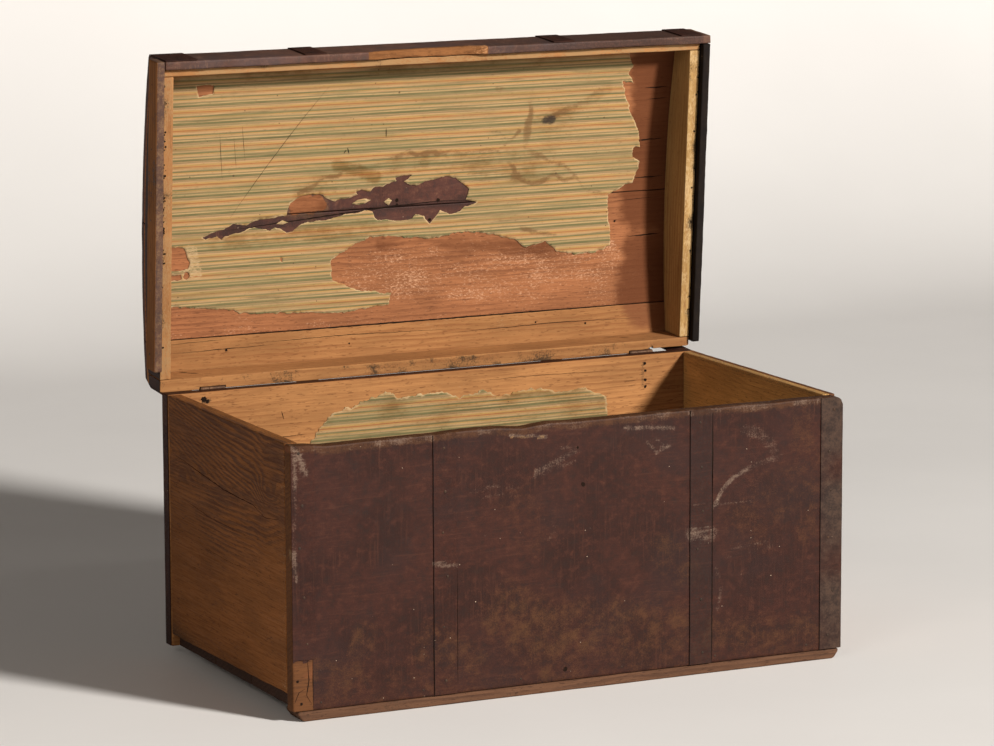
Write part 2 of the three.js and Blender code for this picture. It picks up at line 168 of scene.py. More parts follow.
LATTICE = np.random.default_rng(11).random(4096)
CELL_PRIMES = (73856093, 19349663, 83492791)
SEED_STEP = 2654435
FAR = 1e9


def noise(points, size, seed=0):
    """Smooth noise from -1 to 1 that changes over about the given size."""
    scaled = np.asarray(points, float) / size
    cell = np.floor(scaled).astype(np.int64)
    part = scaled - cell
    part = part * part * (3 - 2 * part)
    total = np.zeros(len(scaled))
    for corner in range(8):
        step = np.array([corner & 1, (corner >> 1) & 1, (corner >> 2) & 1])
        weight = np.prod(np.where(step, part, 1 - part), axis=1)
        x, y, z = ((cell + step) * CELL_PRIMES).T
        total += weight * LATTICE[(x ^ y ^ z ^ (seed * SEED_STEP)) & 4095]
    return total * 2 - 1


def rough_noise(points, size, seed=0, octaves=3):
    total, amount = 0.0, 1.0
    for octave in range(octaves):
        total = total + amount * noise(points, size / 2 ** octave, seed + octave * 17)
        amount *= 0.5
    return total / (2 - 2 ** (1 - octaves))


def smooth_step(low, high, values):
    share = np.clip((values - low) / (high - low), 0, 1)
    return share * share * (3 - 2 * share)


def unit(vectors):
    return vectors / np.maximum(np.linalg.norm(vectors, axis=1, keepdims=True), 1e-9)


def run_lengths(line):
    """How far along a line each of its places is."""
    return np.concatenate([[0], np.cumsum(np.linalg.norm(np.diff(line, axis=0), axis=1))])


def follow(along, line):
    """The height of a line, given as (along, height), at each place along it."""
    return np.interp(along, *np.transpose(line))


def deepen(places):
    """Flat places with a third number, 0, as noise wants them."""
    return np.column_stack([places, np.zeros(len(places))])


def distance_to_line(points, line):
    """Distance of flat points to a line of several stretches."""
    best = np.full(len(points), FAR)
    for start, end in zip(line[:-1], line[1:]):
        start, end = np.array(start, float), np.array(end, float)
        run = end - start
        share = np.clip(((points - start) @ run) / max(run @ run, 1e-12), 0, 1)
        best = np.minimum(best, np.linalg.norm(points - start - share[:, None] * run, axis=1))
    return best


def distance_to_loops(points, loops):
    """Distance of flat points to the nearest of several closed outlines."""
    return np.min([distance_to_line(points, np.vstack([loop, loop[:1]])) for loop in loops], axis=0)


def near(places, line, width):
    """1 on a line, falling to 0 at a width from it; lengths in millimetres."""
    return 1 - smooth_step(width * 0.35, width, distance_to_line(places, line))


def strokes(places, lines):
    """The strongest of several strokes, each given as (line, width, amount)."""
    return np.max([amount * near(places, line, width) for line, width, amount in lines], axis=0)


def inside(points, outline):
    """True for the flat points inside a closed outline."""
    x, y = points[:, 0], points[:, 1]
    found = np.zeros(len(points), bool)
    corners = np.asarray(outline, float)
    for (ax, ay), (bx, by) in zip(corners, np.roll(corners, -1, axis=0)):
        crosses = (ay > y) != (by > y)
        with np.errstate(divide="ignore", invalid="ignore"):
            at = (bx - ax) * (y - ay) / (by - ay) + ax
        found ^= crosses & (x < at)
    return found


def on_sheet(points, loops):
    """True for the flat points inside the first outline and in none of the others, its holes."""
    keep = inside(points, loops[0])
    for loop in loops[1:]:
        keep &= ~inside(points, loop)
    return keep


# Meshes

# The layers of numbers that the materials read: grain (the board's own coordinates), ring (turns of
# growth) and wear (bare wood, pale scuffs, brown rubbing, and dark grime that in places is painted shade)
LAYERS = {"grain": ("FLOAT_VECTOR", "vector"), "ring": ("FLOAT", "value"), "wear": ("FLOAT_COLOR", "color")}
GRAIN_STEP = np.array([0.37, 0.11, 0.05])
GRAIN_ORDER = {"along": [0, 2, 1], "across": [1, 2, 0], "flat": [0, 1, 2]}
FRONT_SEED = 1
EDGE_SHARES = np.array([0, 0.3, 0.65])


def link_mesh(name, points, faces, finish):
    mesh = bpy.data.meshes.new(name)
    mesh.from_pydata(np.asarray(points).tolist(), [], [list(map(int, face)) for face in faces])
    mesh.materials.append(material(finish))
    made = bpy.data.objects.new(name, mesh)
    bpy.context.scene.collection.objects.link(made)
    return made


def make_object(name, points, faces, finish, body, smooth=True):
    made = link_mesh(name, points, faces, finish)
    if smooth:
        made.data.shade_smooth()
    made.data.update()
    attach(made, body)
    return made


def give(made, **layers):
    """Writes layers of numbers on the points of a mesh."""
    for name, values in layers.items():
        kind, field = LAYERS[name]
        layer = made.data.attributes.new(name, kind, "POINT")
        layer.data.foreach_set(field, np.asarray(values, np.float32).ravel())


def block_lines(low, high, pitch, edge):
    """Places along each side of a block, closer together near its ends."""
    lines = []
    for start, end, step in zip(low, high, pitch):
        rim = min(edge, (end - start) * 0.3)
        count = max(1, int(round((end - start - 2 * rim) / step)))
        between = np.linspace(start + rim, end - rim, count + 1)
        lines.append(np.concatenate([start + rim * EDGE_SHARES, between, end - rim * EDGE_SHARES[::-1]]))
    return lines


def block_skin(lines):
    """Points and outward faces of a block's surface, divided along the given lines."""
    counts = [len(line) for line in lines]
    places = np.meshgrid(*[np.arange(count) for count in counts], indexing="ij")
    on_skin = np.zeros(counts, bool)
    for place, count in zip(places, counts):
        on_skin |= (place == 0) | (place == count - 1)
    index = np.full(counts, -1)
    index[on_skin] = np.arange(on_skin.sum())
    points = columns(*[line[place[on_skin]] for line, place in zip(lines, places)])
    faces = []
    for ids, turned in (
        (index[0], True), (index[-1], False), (index[:, 0], False),
        (index[:, -1], True), (index[:, :, 0], True), (index[:, :, -1], False),
    ):
        quads = np.stack([ids[:-1, :-1], ids[1:, :-1], ids[1:, 1:], ids[:-1, 1:]], axis=-1).reshape(-1, 4)
        faces.append(quads[:, ::-1] if turned else quads)
    return points, np.concatenate(faces)


def rub_round(points, low, high, radius):
    """Rounds a block's edges by a radius given for each point."""
    radius = radius[:, None]
    core = np.clip(points, low + radius, high - radius)
    away = points - core
    length = np.linalg.norm(away, axis=1, keepdims=True)
    return core + away * np.where(length > 1e-9, radius / np.maximum(length, 1e-9), 0)


def straight_rings(grain):
    """Growth rings, counted in turns, for a board's own coordinates (along, across, depth)."""
    along, across, depth = grain.T
    wander = rough_noise(grain * [0.25, 1, 1], 0.16) * 9 * MM
    return (across + depth * 0.6 + wander) / (9 * MM)


def board(node, corners, grain, body, finish, seed, wear, pitch=12 * MM, radius=None, bend=None, shape=None,
          rings=straight_rings, dents=0.35 * MM, cuts=((), (), ())):
    """A worn board: its flat box, which way its grain runs, and how it is shaped and bent into place."""
    low, high = np.array(corners[0]), np.array(corners[1])
    edge_wear = radius or settings().edge_wear
    pitches = pitch if isinstance(pitch, tuple) else (pitch,) * 3
    lines = block_lines(low, high, pitches, edge_wear * 2.4)
    flat, faces = block_skin([np.union1d(line, extra) for line, extra in zip(lines, cuts)])
    chance = seed + settings().seed
    uneven = 1 + 0.55 * rough_noise(flat, 0.05, chance) + 0.3 * noise(flat, 0.009, chance + 3)
    points = rub_round(flat, low, high, np.clip(edge_wear * uneven, 0.15 * MM, (high - low).min() * 0.45))
    out = unit((flat > high - 1e-7).astype(float) - (flat < low + 1e-7).astype(float))
    sink = dents * (0.5 + 0.5 * rough_noise(flat, 0.07, chance + 5)) + 0.1 * MM
    points = points - out * sink[:, None]
    if shape:
        points = shape(points, flat)
    made = make_object(f"worn_{node}", bend(points) if bend else points, faces, finish, body)
    order = GRAIN_ORDER[grain]
    give(made, grain=points[:, order] + GRAIN_STEP * (1 + seed), ring=rings(points[:, order] - low[order]),
         wear=np.clip(wear(flat), 0, 1))
    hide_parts(node)
    return made


# Materials


class Value:
    """A value on its way through a material's nodes. Adding or multiplying values makes nodes that do so."""

    def __init__(self, finish, socket):
        self.finish, self.socket = finish, socket

    def __add__(self, other):
        return self.finish.math("ADD", self, other)

    def __sub__(self, other):
        return self.finish.math("SUBTRACT", self, other)

    def __rsub__(self, other):
        return self.finish.math("SUBTRACT", other, self)

    def __mul__(self, other):
        return self.finish.math("MULTIPLY", self, other)


class Finish:
    """A material and the nodes that make it."""

    def __init__(self, name, specular, metallic=0.0):
        self.material = bpy.data.materials.new(name)
        self.material.use_nodes = True
        self.tree = self.material.node_tree
        self.tree.nodes.clear()
        self.shader = self.tree.nodes.new("ShaderNodeBsdfPrincipled")
        output = self.tree.nodes.new("ShaderNodeOutputMaterial")
        self.tree.links.new(self.shader.outputs["BSDF"], output.inputs["Surface"])
        self.shader.inputs["Metallic"].default_value = metallic
        self.shader.inputs["Specular IOR Level"].default_value = specular
        self.grain = self.layer("grain")

    def put(self, socket, value):
        """Links a value to a socket, or sets a number or colour there."""
        if isinstance(value, Value):
            self.tree.links.new(value.socket, socket)
        elif isinstance(value, tuple) and len(value) < len(socket.default_value):
            socket.default_value = (*value, 1.0)
        else:
            socket.default_value = value

    def node(self, kind, inputs, output=0, **options):
        """Makes a node, fills its inputs, and gives the value of one of its outputs."""
        made = self.tree.nodes.new("ShaderNode" + kind)
        for option, value in options.items():
            setattr(made, option, value)
        for socket, value in inputs.items():
            self.put(made.inputs[socket], value)
        return Value(self, made.outputs[output])

    def layer(self, name, output="Vector"):
        return self.node("Attribute", {}, output, attribute_name=name)

    def parts(self, kind, value):
        """The three parts of a vector or a colour."""
        made = self.node(kind, {0: value}).socket.node
        return [Value(self, output) for output in made.outputs]

    def wear(self):
        """The four kinds of wear of the mesh."""
        rgb = self.layer("wear", "Color")
        return [*self.parts("SeparateColor", rgb), Value(self, rgb.socket.node.outputs["Alpha"])]

    def noise(self, scale, detail, roughness=0.55, distortion=0.0, place=None):
        """Noise over the board's own coordinates; three scales stretch it along, across and into it."""
        place = place or self.grain
        if isinstance(scale, tuple):
            place = self.node("VectorMath", {0: place, 1: scale}, operation="MULTIPLY")
            scale = 1.0
        inputs = {"Vector": place, "Scale": scale, "Detail": detail, "Roughness": roughness,
                  "Distortion": distortion}
        return self.node("TexNoise", inputs, "Fac")

    def math(self, operation, first, second=0.0, clamp=False):
        return self.node("Math", {0: first, 1: second}, operation=operation, use_clamp=clamp)

    def between(self, value, low, high, out_low=0.0, out_high=1.0):
        """The value's smooth share of the way from low to high."""
        inputs = {"Value": value, "From Min": low, "From Max": high, "To Min": out_low, "To Max": out_high}
        return self.node("MapRange", inputs, "Result", interpolation_type="SMOOTHSTEP")

    def mix(self, share, first, second, blend="MIX"):
        return self.node("Mix", {0: share, 6: first, 7: second}, 2, data_type="RGBA", blend_type=blend)

    def over(self, below, tone, value, low, high, most=1.0, blend="MIX"):
        """Lays a tone over a colour where a value rises from low to high."""
        return self.mix(self.between(value, low, high, 0.0, most), below, tone, blend)

    def flecks(self, below, tone, share, part, kinds):
        """Lays small round flecks over a colour. Each kind is (scale, size, which cells have one)."""
        for scale, size, least in kinds:
            cell = {"Vector": self.grain, "Scale": scale}
            pick = self.parts("SeparateXYZ", self.node("TexVoronoi", cell, "Color"))[part]
            fleck = self.math("LESS_THAN", self.node("TexVoronoi", cell, "Distance"), size)
            fleck = fleck * self.between(pick, least, least + 0.03)
            below = self.mix(fleck * share, below, tone)
        return below

    def ramp(self, value, stops):
        made = self.node("ValToRGB", {"Fac": value}, "Color")
        elements = made.socket.node.color_ramp.elements
        while len(elements) > 1:
            elements.remove(elements[0])
        elements[0].position = stops[0][0]
        elements[0].color = (*stops[0][1], 1.0)
        for place, tone in stops[1:]:
            elements.new(place).color = (*tone, 1.0)
        return made

    def done(self, tone, rough, height, depth, strength):
        """Gives the shader its colour, roughness and relief, and hands out the material."""
        relief = self.node("Bump", {"Strength": strength, "Distance": depth, "Height": height}, "Normal")
        for socket, value in (("Base Color", tone), ("Roughness", rough), ("Normal", relief)):
            self.put(self.shader.inputs[socket], value)
        return self.material


def shade(tone, *factors):
    """A colour times one factor, or times one for each channel."""
    return tuple(min(1.0, channel * factor) for channel, factor in zip(tone, factors * (3 // len(factors))))


PALE_WOOD = (0.36, 0.22, 0.11)
RED_STAIN = (0.16, 0.055, 0.022)


def aged_pine(finish, light, dark, pale, contrast, red=RED_STAIN):
    """Bare pine: rings, fibres, dark pores and blotches, with pale rubbed patches, red stains and grime; in
    places the red and the grime are painted shade.
    """
    shiver = finish.noise((9, 60, 60), 3)
    phase = finish.math("FRACT", finish.layer("ring", "Fac") + shiver * 1.6)
    late = finish.between(phase, 0.25, 0.9) * finish.between(phase, 1.0, 0.92)
    late = late * finish.between(finish.noise((3.5, 26, 26), 3), 0.36, 0.62, 0.15, 1.0)
    fibre = finish.noise((16, 560, 560), 4, 0.68)
    blotch = finish.noise((5, 14, 14), 5, 0.62)
    pore = finish.noise((85, 430, 430), 2, 0.5)
    base = finish.over(light, shade(light, 0.72), blotch, 0.36, 0.66)
    base = finish.mix(finish.math("MULTIPLY", late, 0.6 * contrast, clamp=True), base, dark)
    base = finish.over(base, dark, fibre, 0.44, 0.68, 0.42)
    base = finish.over(base, shade(dark, 0.7), pore, 0.6, 0.7, 0.6)
    relief = late * (0.3 * contrast) + fibre * 0.9 - finish.between(pore, 0.6, 0.7, 0.0, 0.5)
    bare, scuff, rub, grime = finish.wear()
    speck = finish.noise((190, 430, 430), 5, 0.75)
    speck = speck + (finish.noise((14, 30, 30), 4, 0.6) - 0.5) * 0.5
    base = finish.over(base, pale, scuff + (speck - 0.5) * 1.7, 0.35, 0.75, 0.85)
    base = finish.over(base, red, rub + (blotch - 0.5) * 1.6, 0.4, 0.9, 0.8)
    dirty = grime + (finish.noise(420.0, 4, 0.7) - 0.5) * 1.4
    base = finish.over(base, (0.032, 0.022, 0.013), dirty, 0.45, 0.9, 0.85)
    return base, relief, late, fibre


def pine_finish(name, light, dark, pale):
    """Bare pine with grime and rubbed patches."""
    finish = Finish(name, 0.16)
    base, relief, late, fibre = aged_pine(finish, light, dark, pale, 1.0)
    return finish.done(base, finish.between(fibre, 0.3, 0.7, 0.68, 0.9), relief, 0.45 * MM, 0.85)


def coat_layers(finish, paint):
    """Old oxblood paint: clouds, brush streaks, brown rubbing, grime (in places painted shade), scuffs and
    flecks.
    """
    bare, scuff, rub, grime = finish.wear()
    cloud = finish.noise((8, 10, 10), 5, 0.62)
    mottle = finish.noise((60, 66, 66), 8, 0.76)
    fine = finish.noise(420.0, 5, 0.76)
    upright = finish.noise((240, 14, 60), 5, 0.66, 0.6)
    level = finish.noise((16, 260, 60), 5, 0.66, 0.6)
    streak = finish.over(upright, level, cloud, 0.44, 0.56)
    loose = (mottle - 0.5) * 1.5
    grit = (fine - 0.5) * 2.2
    coat = finish.over(shade(paint, 0.62), paint, cloud, 0.36, 0.62)
    for tone, value, low, high, most in (
        (shade(paint, 1.6), mottle, 0.48, 0.72, 0.85),
        (shade(paint, 0.55, 0.8, 0.95), mottle, 0.5, 0.36, 0.7),
        (shade(paint, 0.62, 0.95, 1.4), finish.noise((6, 7, 7), 4, 0.6), 0.48, 0.68, 0.55),
        (shade(paint, 1.9, 2.2, 2.0), streak, 0.5, 0.74, 0.5),
        (shade(paint, 1.9, 2.1, 2.0), fine, 0.54, 0.74, 0.6),
        (shade(paint, 2.3, 3.3, 2.0), rub + loose * 1.5 + grit, 0.1, 1.3, 0.75),
        ((0.0165, 0.0105, 0.009), grime + loose * 0.5 + grit, 0.35, 1.0, 0.75),
        ((0.16, 0.105, 0.075), scuff + (streak - 0.5) * 1.3 + (loose + grit), 0.45, 1.35, 0.85),
    ):
        coat = finish.over(coat, tone, value, low, high, most)
    coat = finish.flecks(coat, (0.46, 0.34, 0.24), 0.7, 0, ((38.0, 0.035, 0.84), (120.0, 0.08, 0.94)))
    return coat, streak * 0.7 + fine * 0.6 + mottle * 0.8, mottle, fine


def painted_finish(name, paint, light, dark, pale=PALE_WOOD, roughness=0.62, red=RED_STAIN):
    """Old paint on pine, gone where the board is bare."""
    finish = Finish(name, 0.14)
    wood, relief, late, fibre = aged_pine(finish, light, dark, pale, 0.9, red)
    coat, height, mottle, fine = coat_layers(finish, paint)
    worn = finish.wear()[0] + (mottle - 0.5) * 0.7 + (fine - 0.5) * 0.5
    gone = finish.between(worn, 0.46, 0.56)
    rough = finish.between(fine + gone, 0.3, 1.4, roughness - 0.08, roughness + 0.22)
    relief = (height * 0.6 + 0.6) * (1.0 - gone) + relief * 0.6 * gone
    return finish.done(finish.mix(gone, coat, wood), rough, relief, 0.4 * MM, 0.8)


def stained_finish(name, light, dark, stain, inside_painted_light=(1.0, 1.0, 1.0)):
    """Pine whose paint has gone from its grain's ridges, and lower down altogether; the inside is bare, and a
    tint can paint light on it.
    """
    finish = Finish(name, 0.12)
    wood, relief, late, fibre = aged_pine(finish, light, dark, PALE_WOOD, 0.3)
    bare = finish.wear()[0]
    # Painted light: the bare inside face is multiplied by the tint, brighter as if more light fell on it.
    wood = finish.over(wood, inside_painted_light, bare, 0.88, 0.97, blend="MULTIPLY")
    patch = finish.noise((7, 22, 22), 5, 0.66)
    fine = finish.noise((60, 230, 230), 5, 0.7)
    share = patch * 0.9 + fibre * 0.35 + fine * 0.6 - late * 0.75 + 0.2 - bare
    rough = finish.between(fibre, 0.3, 0.7, 0.62, 0.85)
    return finish.done(finish.over(wood, stain, share, 0.2, 0.9, 0.8), rough, relief + late * 0.5,
                       0.5 * MM, 0.9)


def strap_finish(name, paint):
    """Sheet iron under the same old paint as the boards, pitted and rubbed."""
    finish = Finish(name, 0.14)
    coat, height, mottle, fine = coat_layers(finish, paint)
    pits = finish.noise(300.0, 5, 0.7)
    rust = finish.wear()[0] + (mottle - 0.5) * 0.9
    tone = finish.over((0.024, 0.0155, 0.012), (0.062, 0.037, 0.025), mottle * 0.6 + pits * 0.4, 0.4, 0.6)
    coat = finish.over(coat, tone, rust, 0.4, 0.95, 0.8)
    return finish.done(coat, finish.between(pits, 0.3, 0.7, 0.54, 0.74), pits + height, 0.3 * MM, 0.7)


def iron_finish(name, iron):
    """Bare, rusty iron."""
    finish = Finish(name, 0.4, 0.6)
    pits = finish.noise(420.0, 6, 0.7)
    base = finish.over(iron, (0.07, 0.034, 0.018), finish.noise(45.0, 4, 0.6), 0.4, 0.66)
    base = finish.over(base, shade(iron, 0.5), pits, 0.5, 0.7)
    return finish.done(base, finish.between(pits, 0.3, 0.75, 0.5, 0.8), pits, 0.25 * MM, 0.6)


def dark_finish(name):
    """The inside of cracks and holes, and painted shadow beside the straps."""
    finish = Finish(name, 0.05)
    tone = finish.mix(finish.noise(300.0, 3), (0.006, 0.004, 0.003), (0.022, 0.012, 0.008))
    return finish.done(tone, 0.95, finish.noise(500.0, 3), 0.2 * MM, 0.5)


# Where each stripe of the paper starts, as a share of the pitch, and its colour against the paper's ground
STRIPES = (
    (0.0, "olive"), (0.075, "olive"), (0.11, "cream"), (0.15, "cream"), (0.18, "grey green"),
    (0.21, "grey green"), (0.24, "pink"), (0.3, "cream"), (0.34, "gold"), (0.37, "gold"),
    (0.395, "olive"), (0.46, "grey green"), (0.475, "pink"), (0.53, "cream"), (0.56, "pink"),
    (0.62, "gold"), (0.66, "red"), (0.69, "red"), (0.71, "gold"), (0.77, "gold"), (0.82, "cream"),
    (0.86, "pink"), (0.92, "grey green"), (0.95, "pink"), (0.985, "olive"),
)
STRIPE_TINTS = {
    "olive": (0.44, 0.58, 0.52), "grey green": (0.64, 0.82, 0.78), "cream": (1.5, 1.45, 1.4),
    "pink": (1.42, 1.16, 1.2), "gold": (1.4, 1.16, 0.8), "red": (1.1, 0.62, 0.52),
}


def paper_finish(name, ground, pitch):
    """Striped paper, browned by damp and age; its stripes run along the chest."""
    finish = Finish(name, 0.1)
    edge, brown, tide, soot = finish.wear()
    along, across, depth = finish.parts("SeparateXYZ", finish.grain)
    wobble = (finish.noise((5, 40, 1), 3) - 0.5) * (2.2 * MM)
    place = finish.math("FRACT", finish.math("DIVIDE", across + wobble, pitch))
    stripes = finish.ramp(place, [(start, shade(ground, *STRIPE_TINTS[key])) for start, key in STRIPES])
    streak = finish.noise((12, 800, 1), 4, 0.7)
    broad = finish.noise((5, 150, 1), 4, 0.66)
    faded = finish.noise((9, 14, 1), 5, 0.62)
    worn = finish.noise((110, 330, 1), 6, 0.76)
    olive = finish.noise((4, 90, 1), 5, 0.7, 0.4)
    base = stripes
    for tone, value, low, high, most in (
        (shade(ground, 1.05), faded, 0.44, 0.68, 0.35),
        (shade(ground, 0.6, 0.78, 0.7), olive, 0.46, 0.62, 0.5),
        (shade(ground, 0.5, 0.52, 0.5), streak, 0.5, 0.68, 0.42),
        (shade(ground, 1.45), streak, 0.5, 0.34, 0.3),
        (shade(ground, 0.34, 0.42, 0.4), broad, 0.56, 0.7, 0.6),
        (shade(ground, 0.55, 0.45, 0.4), worn, 0.54, 0.7, 0.55),
        ((0.45, 0.31, 0.165), edge + (worn - 0.5) * 1.5, 0.55, 0.85, 0.8),
    ):
        base = finish.over(base, tone, value, low, high, most)
    stain = brown + (faded - 0.5) * 1.4 + (worn - 0.5) * 0.5
    base = finish.over(base, (0.6, 0.47, 0.33), stain, 0.1, 0.7, 0.85, "MULTIPLY")
    base = finish.over(base, (0.13, 0.066, 0.026), tide + (worn - 0.5) * 1.5 + (faded - 0.5) * 1.2,
                       0.3, 1.0, 0.72)
    base = finish.over(base, (0.03, 0.022, 0.018), soot + (worn - 0.5) * 1.5, 0.4, 1.0, 0.9)
    base = finish.flecks(base, (0.07, 0.04, 0.022), 0.75, 1, ((34.0, 0.06, 0.8), (90.0, 0.1, 0.86)))
    return finish.done(base, 0.86, streak * 0.5 + worn * 0.8, 0.3 * MM, 0.6)


def stage_finish(name, tone):
    """The pale floor: plain, with the faintest clouds."""
    finish = Finish(name, 0.25)
    spot = finish.node("TexCoord", {}, "Object")
    base = finish.over(tone, shade(tone, 0.96), finish.noise(1.4, 4, 0.5, place=spot), 0.3, 0.7)
    return finish.done(base, 0.6, finish.noise(25.0, 4, 0.5, place=spot), 0.4 * MM, 0.25)


MATERIALS = {}


def material(name):
    """The chest's materials, each made the first time it is wanted."""
    if name not in MATERIALS:
        MATERIALS[name] = make_material(name)
    return MATERIALS[name]


def make_material(name):
    s = settings()
    paint, fresh, aged = tuple(s.paint), tuple(s.fresh_pine), tuple(s.aged_pine)
    line, purple = (0.2, 0.075, 0.026), (0.075, 0.027, 0.019)
    side = (aged, (0.095, 0.032, 0.011), (0.066, 0.028, 0.0175))
    frame_paint = shade(paint, 0.85)
    maker, *tones = {
        "front_paint": (painted_finish, paint, (0.14, 0.054, 0.019), (0.05, 0.021, 0.01), (0.2, 0.12, 0.06)),
        "side_wood": (stained_finish, *side),
        # The right side's inside face is painted light: its tint brightens it two to four times.
        "right_side_wood": (stained_finish, *side, (2.3, 3.4, 4.2)),
        "back_wood": (painted_finish, shade(paint, 0.9), shade(fresh, 1.2), line),
        # Dark pine for the bottom boards: its own dark tone, darkened further as painted shade, since their
        # ends sit in shade under the sides.
        "base_wood": (pine_finish, (0.07, 0.034, 0.022), (0.028, 0.014, 0.01), (0.1, 0.05, 0.03)),
        "runner_wood": (pine_finish, (0.12, 0.055, 0.028), (0.045, 0.02, 0.012), (0.17, 0.09, 0.05)),
        # Paler frame wood for the lid's right side board: its cream rim is the board's own colour, its
        # brighter inner face is painted light.
        "pale_frame_wood": (painted_finish, frame_paint, (0.4, 0.235, 0.085), (0.2, 0.085, 0.026),
                            (0.5, 0.34, 0.17)),
        "frame_wood": (painted_finish, frame_paint, fresh, line, (0.31, 0.18, 0.08)),
        # The ceiling's dark red also paints shade in the band by the right side board.
        "ceiling_wood": (painted_finish, purple, (0.34, 0.13, 0.053), (0.12, 0.04, 0.017),
                         (0.6, 0.33, 0.19), 0.62, (0.092, 0.026, 0.008)),
        "rear_ceiling_wood": (painted_finish, purple, shade(fresh, 0.95), (0.19, 0.066, 0.022)),
        "lip_wood": (painted_finish, (0.1, 0.046, 0.032), (0.25, 0.1, 0.033), (0.11, 0.042, 0.014),
                     (0.52, 0.25, 0.11)),
        # The right lip's near-black paint is painted shade: a darker copy of the lip paint for a face that
        # lies in shade.
        "black_lip_wood": (painted_finish, (0.0075, 0.0036, 0.0026), (0.05, 0.022, 0.012),
                           (0.02, 0.01, 0.007), (0.06, 0.03, 0.02), 0.85),
        "strap_iron": (strap_finish, paint),
        "hinge_iron": (iron_finish, tuple(s.iron)),
        "nail_iron": (iron_finish, (0.032, 0.02, 0.014)),
        "striped_paper": (paper_finish, tuple(s.paper), s.stripe_pitch),
        "dark_hollow": (dark_finish,),
        "pale_floor": (stage_finish, (0.8, 0.775, 0.755)),
    }[name]
    return maker(name, *tones)


# Wear of the body's boards, from places in millimetres on each board (from the middle, over the floor)

FRONT_SCUFFS = [
    ([(-456, 408), (-446, 396), (-437, 370)], 8, 1.2), ([(-453, 392), (-453, 352)], 6, 0.95),
    ([(-457, 256), (-453, 211)], 6, 1.0), ([(-62, 340), (-30, 352), (2, 366)], 8, 0.7),
    ([(-70, 330), (-35, 341), (0, 350)], 6, 0.5), ([(-20, 372), (8, 366)], 7, 0.55),
    ([(84, 394), (110, 391), (140, 389), (168, 386)], 6, 0.85),
    ([(122, 369), (138, 352), (160, 359)], 5, 0.85), ([(136, 372), (150, 362)], 5, 0.7),
    ([(237, 258), (251, 284), (269, 300), (292, 311)], 6, 0.95), ([(240, 262), (300, 262)], 4, 0.6),
    ([(290, 372), (312, 366), (332, 350), (346, 330)], 16, 0.6),
    ([(346, 325), (310, 318), (285, 308)], 8, 0.6), ([(258, 190), (330, 196)], 5, 0.5),
    ([(262, 178), (345, 190)], 4, 0.45), ([(-172, 318), (-130, 325), (-92, 316)], 6, 0.45),
    ([(-165, 306), (-120, 312), (-85, 302)], 5, 0.4), ([(-60, 268), (-30, 255), (-45, 235)], 8, 0.4),
    ([(250, 130), (244, 100)], 6, 0.6), ([(246, 150), (240, 165)], 7, 0.55),
    ([(-106, 399), (-74, 396), (-48, 390)], 6, 1.0), ([(199, 220), (232, 217)], 19, 0.8),
    ([(-231, 216), (-196, 210)], 7, 0.9), ([(200, 263), (226, 262)], 5, 0.6),
]
FRONT_RUBS = [
    ([(-345, 120), (-352, 88)], 30, 0.8), ([(-110, 130), (-60, 100), (0, 90)], 70, 0.75),
    ([(-30, 60), (-20, 30)], 60, 0.65), ([(-420, 60), (-370, 50)], 50, 0.6),
    ([(60, 90), (160, 80)], 70, 0.65), ([(-230, 90), (-180, 60)], 60, 0.5),
    ([(240, 60), (400, 40)], 50, 0.5), ([(150, 200), (190, 160)], 40, 0.5),
    ([(300, 230), (420, 300)], 70, 0.35), ([(390, 390), (400, 200)], 30, 0.45),
    ([(-90, 290), (-70, 240)], 50, 0.3),
]
FRONT_GRIME = [
    ([(-370, 350), (-300, 300), (-290, 260)], 70, 0.55), ([(-60, 170), (60, 165)], 60, 0.3),
    ([(110, 150), (190, 130)], 50, 0.35), ([(60, 372), (150, 376)], 40, 0.5),
    ([(290, 130), (380, 150)], 50, 0.35),
]
TOP_BAND = 13
FRONT_TOP = [
    (-460, 412), (-430, 411), (-407, 408.3), (-338, 409), (-255, 409.6), (-234, 409.4), (-180, 412),
    (-128, 411.6), (-84.5, 407.4), (-41, 412), (-7.5, 410.4), (76, 411), (178, 412), (281, 412),
    (340, 411), (385, 412), (460, 411.5),
]
SIDE_FOOT = [(-248, 40.5), (-150, 39.0), (0, 37.0), (120, 36.2), (248, 35.2)]
# The figure of the side boards: the crack along their middle ring, and how far the rings bulge round an eye
SIDE_CRACK = [(226, 326), (168, 320), (104, 313), (5, 303), (-107, 300), (-152, 289), (-223, 297)]
SIDE_EYES = [(-165, 327, 40, 19, 40), (172, 306, 36, 15, 30), (-60, 345, 60, 12, 9), (60, 280, 70, 14, 10)]
SIDE_TONGUE_RUN = 0.2
SIDE_RING = 11.5
# Where the rings' own origin lies from the grain's, in millimetres
SIDE_ORIGIN = (-226, 34, 0)
CHIP_EDGE = [
    (-121, -10), (-112, -9), (-98, -7), (-77, -5), (-54, -3.5), (-22, -2), (4, -4), (30, -2.6), (57, -5.4),
    (69, -8.2), (77, -10),
]
PATCH_RIGHT, PATCH_TOP = -428, 92
CORNER_RADIUS = 12 * MM
# Edges of the front straps that get a painted shadow line along them.
STRAP_SHADOW_EDGES = (
    box("front_strap_left")[0][0], *box("front_strap_right")[:, 0], box("front_strap_right_corner")[0][0],
)


def body_places(flat):
    """Places on the body in millimetres: (along, over the floor)."""
    return flat[:, [0, 2]] / MM


def top_drop(along):
    """How far the front's top edge has worn down, along the chest."""
    fine = rough_noise(columns(along, 0, 0), 0.03, 31)
    return np.maximum(BODY_TOP - follow(along / MM, FRONT_TOP) * MM + 0.35 * MM * (1 + fine), 0)


